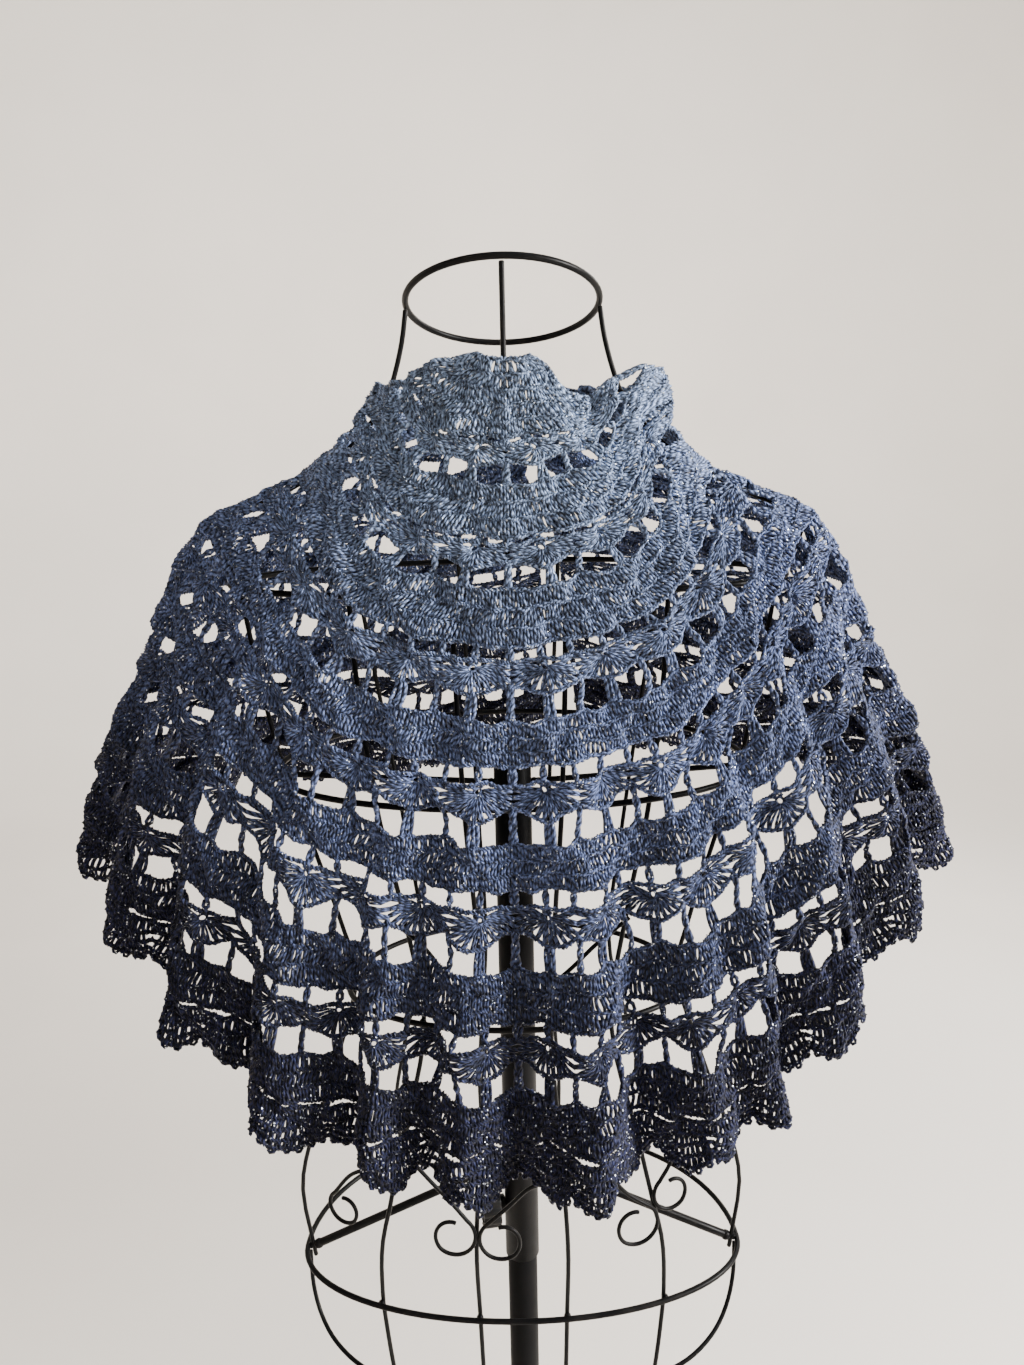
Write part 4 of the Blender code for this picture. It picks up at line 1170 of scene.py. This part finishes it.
def wire_frames(points, closed):
    """A frame at each point of a route, with its Z along the route and no needless twist."""
    count = len(points)
    frames = []
    turn, before = None, None
    for i, point in enumerate(points):
        behind = points[i - 1] if i or closed else point
        ahead = points[(i + 1) % count] if i + 1 < count or closed else point
        along = (ahead - behind).normalized()
        if turn is None:
            turn = along.to_track_quat("Z", "X")
        else:
            turn = before.rotation_difference(along) @ turn
        before = along
        frames.append(Matrix.Translation(point) @ turn.to_matrix().to_4x4())
    return frames


def bend_wire(points, radius, sides, closed=False):
    """A round wire: a circle drawn out along a route, with eased ends or joined to itself."""
    frames = wire_frames(points, closed)
    work = bmesh.new()
    bmesh.ops.create_circle(work, segments=sides, radius=radius, matrix=frames[0])
    first_rim = work.edges[:]
    rim = first_rim
    for before, after in zip(frames, frames[1:]):
        drawn = bmesh.ops.extrude_edge_only(work, edges=rim)["geom"]
        rim = [part for part in drawn if isinstance(part, bmesh.types.BMEdge)]
        spots = [part for part in drawn if isinstance(part, bmesh.types.BMVert)]
        bmesh.ops.transform(work, matrix=after @ before.inverted(), verts=spots)
    if closed:
        bmesh.ops.bridge_loops(work, edges=first_rim + rim)
    else:
        for ends in (first_rim, rim):
            bmesh.ops.edgeloop_fill(work, edges=ends)
        bmesh.ops.bevel(
            work, geom=first_rim + rim, offset=0.45 * radius, segments=2, profile=0.5,
            affect="EDGES", material=-1,
        )
    bmesh.ops.recalc_face_normals(work, faces=work.faces[:])
    return work


def add_bead(work, point, radius):
    """A small drop of weld where two wires cross."""
    place = Matrix.Translation(point)
    bmesh.ops.create_icosphere(work, subdivisions=2, radius=radius, matrix=place)


def piece_from(name, work, material):
    mesh = bpy.data.meshes.new(name)
    work.to_mesh(mesh)
    work.free()
    mesh.materials.append(material)
    mesh.shade_smooth()
    mesh.set_sharp_from_angle(angle=math.radians(SHARP_ANGLE))
    thing = bpy.data.objects.new(name, mesh)
    bpy.context.scene.collection.objects.link(thing)
    return thing


def dress(piece, body, slot, node):
    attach(piece, body)
    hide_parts(node)


def wire_piece(name, points, radius, sides, material, closed=False, beads=()):
    work = bend_wire(points, radius, sides, closed)
    for point in beads:
        add_bead(work, point, BEAD_SIZE * radius)
    dress(piece_from(name + "_wire", work, material), "form", "cage_wire", name)


def upright_azimuths():
    """Azimuths of every upright and side wire, signed."""
    found = (*NEAR_UPRIGHTS.values(), *FAR_UPRIGHTS.values(), 90.0)
    return [side * azimuth for side in (-1, 1) for azimuth in found]


# Operators

class SHAWLETTE_OT_work_lace(bpy.types.Operator):
    """Works the lace of both wings in yarn, in three bands"""

    bl_idname = "shawlette.work_lace"
    bl_label = "Work the lace"

    def execute(self, context):
        settings = context.scene.shawlette_yarn
        material = yarn_material("crochet_yarn", settings)
        for word, side in SIDES.items():
            cloth = ClothMap(side)
            for number, (label, repeats) in enumerate(LACE_PIECES.items()):
                work = YarnWork(cloth, settings, 10 * number + side + 1)
                first = SLITS[repeats[0]]
                if repeats[0] == 0:
                    first = START_ROW
                    start_rows(work)
                for repeat in repeats:
                    last = lace_repeat(work, repeat)
                work.wing_edge(first, last)
                names = (f"{label}_{word}", "shawl_yarn", f"shawl_{word}")
                declare_cloth(work, names, first, last, material)
        return {"FINISHED"}


class SHAWLETTE_OT_work_edging(bpy.types.Operator):
    """Works the scalloped edging of both wings, with its picots"""

    bl_idname = "shawlette.work_edging"
    bl_label = "Work the edging"

    def execute(self, context):
        settings = context.scene.shawlette_yarn
        material = yarn_material("edging_yarn", settings)
        for word, side in SIDES.items():
            cloth = ClothMap(side)
            work = YarnWork(cloth, settings, 101 + side)
            first, last = edging_rows(work)
            work.wing_edge(first, last - EDGING_CORD_STOP)
            names = (f"scalloped_edging_{word}", "edging_yarn", f"edging_{word}")
            declare_cloth(work, names, first, last, material)
        return {"FINISHED"}


def declare_cloth(work, names, first, last, material):
    """Make a stretch of lace and the loops on its rows, and work out its longest row and its area,
    which are not kept.
    """
    name, slot, node = names
    cloth = work.cloth
    lace = work.finish(name, material, work.batches)
    tops = work.finish(name + "_row_tops", material, work.tops)
    for piece in (lace, tops):
        dress(piece, "form", slot, node)
    longest = float(cloth.row_length(np.linspace(first, last, 9)).max())
    cloth.area(first, last)


class SHAWLETTE_OT_bend_cage(bpy.types.Operator):
    """Bends the cage's rings, uprights, rim, scrolls and braces from round wire"""

    bl_idname = "shawlette.bend_cage"
    bl_label = "Bend the cage"

    def execute(self, context):
        cage = context.scene.shawlette_cage
        material = enamel_material("painted_wire", cage.paint, cage.worn)
        for bend in (
            bend_rings, bend_uprights, bend_side_wires, bend_rim, bend_braces, bend_scrolls,
        ):
            bend(cage, material)
        return {"FINISHED"}


def bend_rings(cage, material, steps=96, neck_steps=64):
    out = cage.upright + cage.ring + 3 * GAP
    for name, height in CAGE_RINGS.items():
        points = [cage_point(360.0 * i / steps, height, out) for i in range(steps)]
        beads = []
        for azimuth in upright_azimuths():
            inward = lean(height) if abs(azimuth) == NEAR_UPRIGHTS["near_outer"] else 0.0
            spot = azimuth - math.copysign(inward, azimuth)
            beads.append(cage_point(spot, height, cage.upright + GAP))
        wire_piece(name, points, cage.ring, cage.sides, material, closed=True, beads=beads)
    points = []
    for i in range(neck_steps):
        angle = 2 * math.pi * i / neck_steps
        y = -NECK_RING_RADIUS * math.cos(angle)
        height = NECK_RING_HEIGHT - NECK_RING_TILT * y
        points.append(Vector((NECK_RING_RADIUS * math.sin(angle), y, height)))
    wire_piece("neck_ring", points, cage.ring, cage.sides, material, closed=True)


def bend_uprights(cage, material, spacing=0.012):
    for label, azimuth in {**NEAR_UPRIGHTS, **FAR_UPRIGHTS}.items():
        near = label in NEAR_UPRIGHTS
        low = rim_height(azimuth) + 2 * cage.upright + GAP if near else HIP_HEIGHT - UPRIGHT_FOOT
        high = YOKE_HEIGHT + UPRIGHT_HEAD
        steps = math.ceil((high - low) / spacing)
        inward = 1.0 if label == "near_outer" else 0.0
        for word, side in SIDES.items():
            points = []
            for i in range(steps + 1):
                height = high + (low - high) * i / steps
                points.append(cage_point(side * (azimuth - inward * lean(height)), height))
            wire_piece(f"upright_{label}_{word}", points, cage.upright, cage.sides, material)


def bend_side_wires(cage, material):
    for word, side in SIDES.items():
        points = [Vector((side * x, 0.0, z)) for x, z in SHOULDER_WIRE]
        points += [cage_point(side * 90.0, height) for height in SIDE_WIRE_HEIGHTS]
        route = smooth_route(points, 3)
        wire_piece(f"side_wire_{word}", route, cage.upright, cage.sides, material)
    for name, rows in CENTRE_WIRES.items():
        route = smooth_route([Vector((0.0, y, z)) for y, z in rows], 6)
        wire_piece(name, route, cage.upright, cage.sides, material)


def bend_rim(cage, material):
    reach = float(NEAR_REACH(RIM_LOW))
    right = [Vector((x, -reach + back, z)) for x, back, z in RIM_HALF]
    left = [Vector((-p.x, p.y, p.z)) for p in reversed(right[1:])]
    feet = sorted(side * azimuth for side in (-1, 1) for azimuth in NEAR_UPRIGHTS.values())
    beads = [cage_point(foot, rim_height(foot) + RIM_BEAD * cage.upright) for foot in feet]
    route = smooth_route(left + right, 4)
    wire_piece("lower_rim", route, cage.upright, cage.sides, material, beads=beads)


def bend_braces(cage, material):
    lo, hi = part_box("tube")
    face = 0.5 * (hi[1] - lo[1]) + GAP
    for name, inner, outer, inner_room, outer_room in BRACES:
        radius = getattr(cage, name)
        reach = float(HALF_WIDTH(outer)) - cage.upright - GAP - outer_room
        for word, side in SIDES.items():
            start = Vector((side * (face + inner_room), 0.0, inner))
            end = Vector((side * reach, 0.0, outer))
            points = [start.lerp(end, i / 6) for i in range(7)]
            weld = Vector((side * (face + BEAD_SIZE * radius - WELD_BITE), 0.0, inner))
            wire_piece(f"{name}_{word}", points, radius, cage.sides, material, beads=[weld, end])


def bend_scrolls(cage, material, steps=40):
    out = cage.upright + cage.scroll + 2 * GAP
    for name, (cx, cz), radius, first, sweep, tail in SCROLLS:
        flat = []
        for i in range(steps + 1):
            share = i / steps
            angle = math.radians(first + sweep * share)
            r = radius * (0.62 + 0.38 * min(1.0, 2.2 * share))
            flat.append(Vector((cx + r * math.cos(angle), cz + r * math.sin(angle), 0.0)))
        tail_points = [flat[-1]] + [Vector((x, z, 0.0)) for x, z in tail]
        flat += smooth_route(tail_points, 6)[1:]
        points = [near_cage_point(p.x, p.y, out) for p in flat]
        wire_piece(name, points, cage.scroll, cage.sides, material)


class SHAWLETTE_OT_turn_stand(bpy.types.Operator):
    """Turns the base plate, its socket, the pole and the tube that slides on it"""

    bl_idname = "shawlette.turn_stand"
    bl_label = "Turn the stand"

    def execute(self, context):
        stand = context.scene.shawlette_stand
        dust = context.scene.shawlette_cage.worn
        enamel = enamel_material("stand_enamel", stand.paint, dust)
        tube = enamel_material("tube_enamel", stand.paint, dust)
        plastic = enamel_material("black_plastic", stand.plastic, dust)
        plate, cap = turned("base_plate", 96, 0.0016), turned("tube_cap", 48, 0.0012)
        socket = pipe("base_socket", stand.socket_bore, stand)
        pole, sleeve = pipe("pole", None, stand), pipe("tube", None, stand)
        works = [
            ("base_plate", plate, enamel, "stand", "base_steel"),
            ("base_socket", socket, enamel, "stand", "base_steel"),
            ("pole", pole, tube, "pole", "steel_tube"),
            ("tube", sleeve, tube, "form", "steel_tube"),
            ("tube_cap", cap, plastic, "form", "knob_plastic"),
        ]
        for node, work, material, body, slot in works:
            dress(piece_from("turned_" + node, work, material), body, slot, node)
        return {"FINISHED"}


def node_size(node):
    """Radius, bottom and top of an upright round node."""
    lo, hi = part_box(node)
    return 0.5 * (hi[1] - lo[1]), lo[2], hi[2]


def rod(radius, length, sides, place):
    """A plain round rod in a frame whose Z runs along it."""
    work = bmesh.new()
    bmesh.ops.create_cone(
        work, cap_ends=True, segments=sides, radius1=radius, radius2=radius, depth=length,
        matrix=place,
    )
    return work


def spun(outline, steps, closed=True):
    """A surface spun round Z from an outline of distances from Z and heights."""
    work = bmesh.new()
    line = [work.verts.new((x, 0.0, z)) for x, z in outline]
    ahead = line[1:] + line[:1] if closed else line[1:]
    edges = [work.edges.new(pair) for pair in zip(line, ahead)]
    bmesh.ops.spin(
        work, geom=line + edges, cent=(0, 0, 0), axis=(0, 0, 1), angle=2 * math.pi, steps=steps,
        use_merge=True,
    )
    return work


def ease_rims(work, offset, segments=3):
    """Round the sharp rims of a turned piece."""
    sharp = math.radians(60)
    rims = [edge for edge in work.edges if edge.is_manifold and edge.calc_face_angle() > sharp]
    bmesh.ops.bevel(
        work, geom=rims, offset=offset, segments=segments, profile=0.5, affect="EDGES", material=-1,
    )


def turned(node, sides, rounding):
    """A round plate that fills its node's box, with rounded edges."""
    radius, bottom, top = node_size(node)
    middle = Matrix.Translation((0.0, 0.0, 0.5 * (bottom + top)))
    work = rod(radius, top - bottom, sides, middle)
    ease_rims(work, rounding, 4)
    return work


def pipe(node, bore, stand):
    """An open pipe: a wall spun round the axis, with its rims eased."""
    radius, bottom, top = node_size(node)
    bore = bore or radius - stand.wall
    ease = 0.25 * (radius - bore)
    outline = [
        (bore, bottom + ease), (bore + ease, bottom), (radius - ease, bottom), (radius, bottom + ease),
        (radius, top - ease), (radius - ease, top), (bore + ease, top), (bore, top - ease),
    ]
    work = spun(outline, stand.sides)
    bmesh.ops.recalc_face_normals(work, faces=work.faces[:])
    return work


class SHAWLETTE_OT_fit_clamp(bpy.types.Operator):
    """Fits the boss, the screw and the ribbed knob of the height clamp"""

    bl_idname = "shawlette.fit_clamp"
    bl_label = "Fit the clamp"

    def execute(self, context):
        stand = context.scene.shawlette_stand
        dust = context.scene.shawlette_cage.worn
        steel = enamel_material("clamp_enamel", stand.paint, dust)
        plastic = enamel_material("knob_plastic", stand.plastic, dust)
        boss = ringed_boss(stand.sides)
        dress(piece_from("turned_clamp_boss", boss, steel), "form", "steel_tube", "clamp_boss")
        screw = clamp_screw(stand.sides)
        dress(piece_from("turned_knob_screw", screw, steel), "knob", "steel_tube", "knob_screw")
        knob = ribbed_knob(stand.knob_ribs)
        dress(piece_from("ribbed_knob", knob, plastic), "knob", "knob_plastic", "knob")
        return {"FINISHED"}


def knob_place(along):
    """The frame on the knob's axis at a distance from the middle of the tube."""
    angle = math.radians(KNOB_AZIMUTH)
    direction = Vector((math.sin(angle), -math.cos(angle), 0.0))
    place = Matrix.Translation(Vector((0.0, 0.0, KNOB_HEIGHT)) + along * direction)
    return place @ direction.to_track_quat("Z", "X").to_matrix().to_4x4()


def ringed_boss(sides):
    outline = [
        (SCREW_BORE, BOSS_FROM), (SCREW_BORE, BOSS_TO), (BOSS_RADIUS, BOSS_TO),
        (BOSS_RADIUS, BOSS_FROM),
    ]
    work = spun(outline, sides)
    bmesh.ops.recalc_face_normals(work, faces=work.faces[:])
    ease_rims(work, CLAMP_EASE, 2)
    bmesh.ops.transform(work, matrix=knob_place(0.0), verts=work.verts[:])
    return work


def clamp_screw(sides):
    middle = knob_place(0.5 * (SCREW_FROM + SCREW_TO))
    work = rod(SCREW_RADIUS, SCREW_TO - SCREW_FROM, sides, middle)
    ease_rims(work, CLAMP_EASE, 2)
    return work


def ribbed_knob(ribs):
    """A round knob with scalloped sides and a dished end."""
    work = rod(KNOB_RADIUS, KNOB_THICKNESS, 8 * ribs, Matrix.Identity(4))
    for vertex in work.verts:
        turn = math.atan2(vertex.co.y, vertex.co.x)
        hollow = 1.0 - KNOB_HOLLOW * (0.5 + 0.5 * math.cos(ribs * turn)) ** 1.5
        vertex.co.x *= hollow
        vertex.co.y *= hollow
    end = [face for face in work.faces if len(face.verts) > 4 and face.normal.z > 0]
    for thickness, depth in KNOB_DISH:
        bmesh.ops.inset_region(
            work, faces=end, thickness=thickness, depth=depth, use_even_offset=False,
        )
    ease_rims(work, KNOB_EASE)
    place = knob_place(KNOB_FROM + 0.5 * KNOB_THICKNESS)
    bmesh.ops.transform(work, matrix=place, verts=work.verts[:])
    return work


class SHAWLETTE_OT_set_stage(bpy.types.Operator):
    """Sets the pale floor, the soft lights and the camera"""

    bl_idname = "shawlette.set_stage"
    bl_label = "Set the stage"

    def execute(self, context):
        stage = context.scene.shawlette_stage
        floor = lay_floor(stage)
        world = bpy.data.worlds.new("even_light")
        world.use_nodes = True
        background = world.node_tree.nodes["Background"]
        background.inputs["Color"].default_value = SKY_COLOUR
        background.inputs["Strength"].default_value = stage.sky
        context.scene.world = world
        for name, (place, target, width, colour) in LIGHTS.items():
            add_area(name + "_light", place, target, width, getattr(stage, name), colour)
        set_camera(stage)
        return {"FINISHED"}


def lay_floor(stage):
    """A wide floor that curves up into a backdrop on every side."""
    flat = FLOOR_RADIUS - FLOOR_CURVE
    outline = [(0.0, 0.0), (flat, 0.0)]
    for i in range(1, 13):
        angle = 0.5 * math.pi * i / 12
        rise = FLOOR_CURVE - FLOOR_CURVE * math.cos(angle)
        outline.append((flat + FLOOR_CURVE * math.sin(angle), rise))
    outline.append((FLOOR_RADIUS, BACKDROP_HEIGHT))
    work = spun(outline, 96, closed=False)
    bmesh.ops.remove_doubles(work, verts=work.verts[:], dist=0.0001)
    bmesh.ops.recalc_face_normals(work, faces=work.faces[:])
    material = bpy.data.materials.new("pale_floor")
    material.use_nodes = True
    tree = material.node_tree
    shader = tree.nodes["Principled BSDF"]
    tint = add_range(tree, add_noise(tree, object_coordinates(tree), 1.4, 3.0), 0.3, 0.7)
    pale = (*stage.floor, 1.0)
    paler = (*(min(1.0, 1.05 * value) for value in stage.floor), 1.0)
    tree.links.new(add_mix(tree, tint, pale, paler), shader.inputs["Base Color"])
    shader.inputs["Roughness"].default_value = 0.85
    return piece_from("floor", work, material)


def add_area(name, place, target, size, power, colour):
    light = bpy.data.lights.new(name, "AREA")
    light.shape = "DISK"
    light.size = size
    light.energy = power
    light.color = colour
    lamp = bpy.data.objects.new(name, light)
    lamp.location = place
    lamp.rotation_euler = (Vector(target) - Vector(place)).to_track_quat("-Z", "Y").to_euler()
    bpy.context.scene.collection.objects.link(lamp)


def set_camera(stage):
    """The photograph's view: close before the middle of the shawlette, looking a little down."""
    data = bpy.data.cameras.new("camera")
    data.sensor_width = SENSOR_WIDTH
    data.lens = stage.lens
    camera = bpy.data.objects.new("camera", data)
    camera.location = CAMERA_PLACE
    tilt = Matrix.Rotation(math.radians(90.0 - CAMERA_DOWN), 4, "X")
    roll = Matrix.Rotation(math.radians(CAMERA_ROLL), 4, "Z")
    camera.rotation_euler = (tilt @ roll).to_euler()
    bpy.context.scene.collection.objects.link(camera)
    bpy.context.scene.camera = camera


class SHAWLETTE_PT_panel(bpy.types.Panel):
    """The steps, in the order in which they are run"""

    bl_idname = "SHAWLETTE_PT_panel"
    bl_label = "Shawlette"
    bl_space_type = "VIEW_3D"
    bl_region_type = "UI"
    bl_category = "Shawlette"

    def draw(self, context):
        for step in STEPS:
            self.layout.operator(step.bl_idname)
        for label in SETTINGS:
            group = getattr(context.scene, label)
            box = self.layout.box()
            for name in group.__annotations__:
                box.prop(group, name)


STEPS = (
    SHAWLETTE_OT_set_stage,
    SHAWLETTE_OT_work_lace,
    SHAWLETTE_OT_work_edging,
    SHAWLETTE_OT_bend_cage,
    SHAWLETTE_OT_turn_stand,
    SHAWLETTE_OT_fit_clamp,
)
SETTINGS = {
    "shawlette_yarn": ShawletteYarn,
    "shawlette_cage": ShawletteCage,
    "shawlette_stand": ShawletteStand,
    "shawlette_stage": ShawletteStage,
}


def register():
    for kind in (*SETTINGS.values(), *STEPS, SHAWLETTE_PT_panel):
        bpy.utils.register_class(kind)
    for label, kind in SETTINGS.items():
        setattr(bpy.types.Scene, label, PointerProperty(type=kind))


def unregister():
    for label in SETTINGS:
        delattr(bpy.types.Scene, label)
    for kind in (SHAWLETTE_PT_panel, *reversed(STEPS), *SETTINGS.values()):
        bpy.utils.unregister_class(kind)


def main():
    register()
    bpy.ops.shawlette.set_stage()
    bpy.ops.shawlette.work_lace()
    bpy.ops.shawlette.work_edging()
    bpy.ops.shawlette.bend_cage()
    bpy.ops.shawlette.turn_stand()
    bpy.ops.shawlette.fit_clamp()


if __name__ == "__main__":
    main()
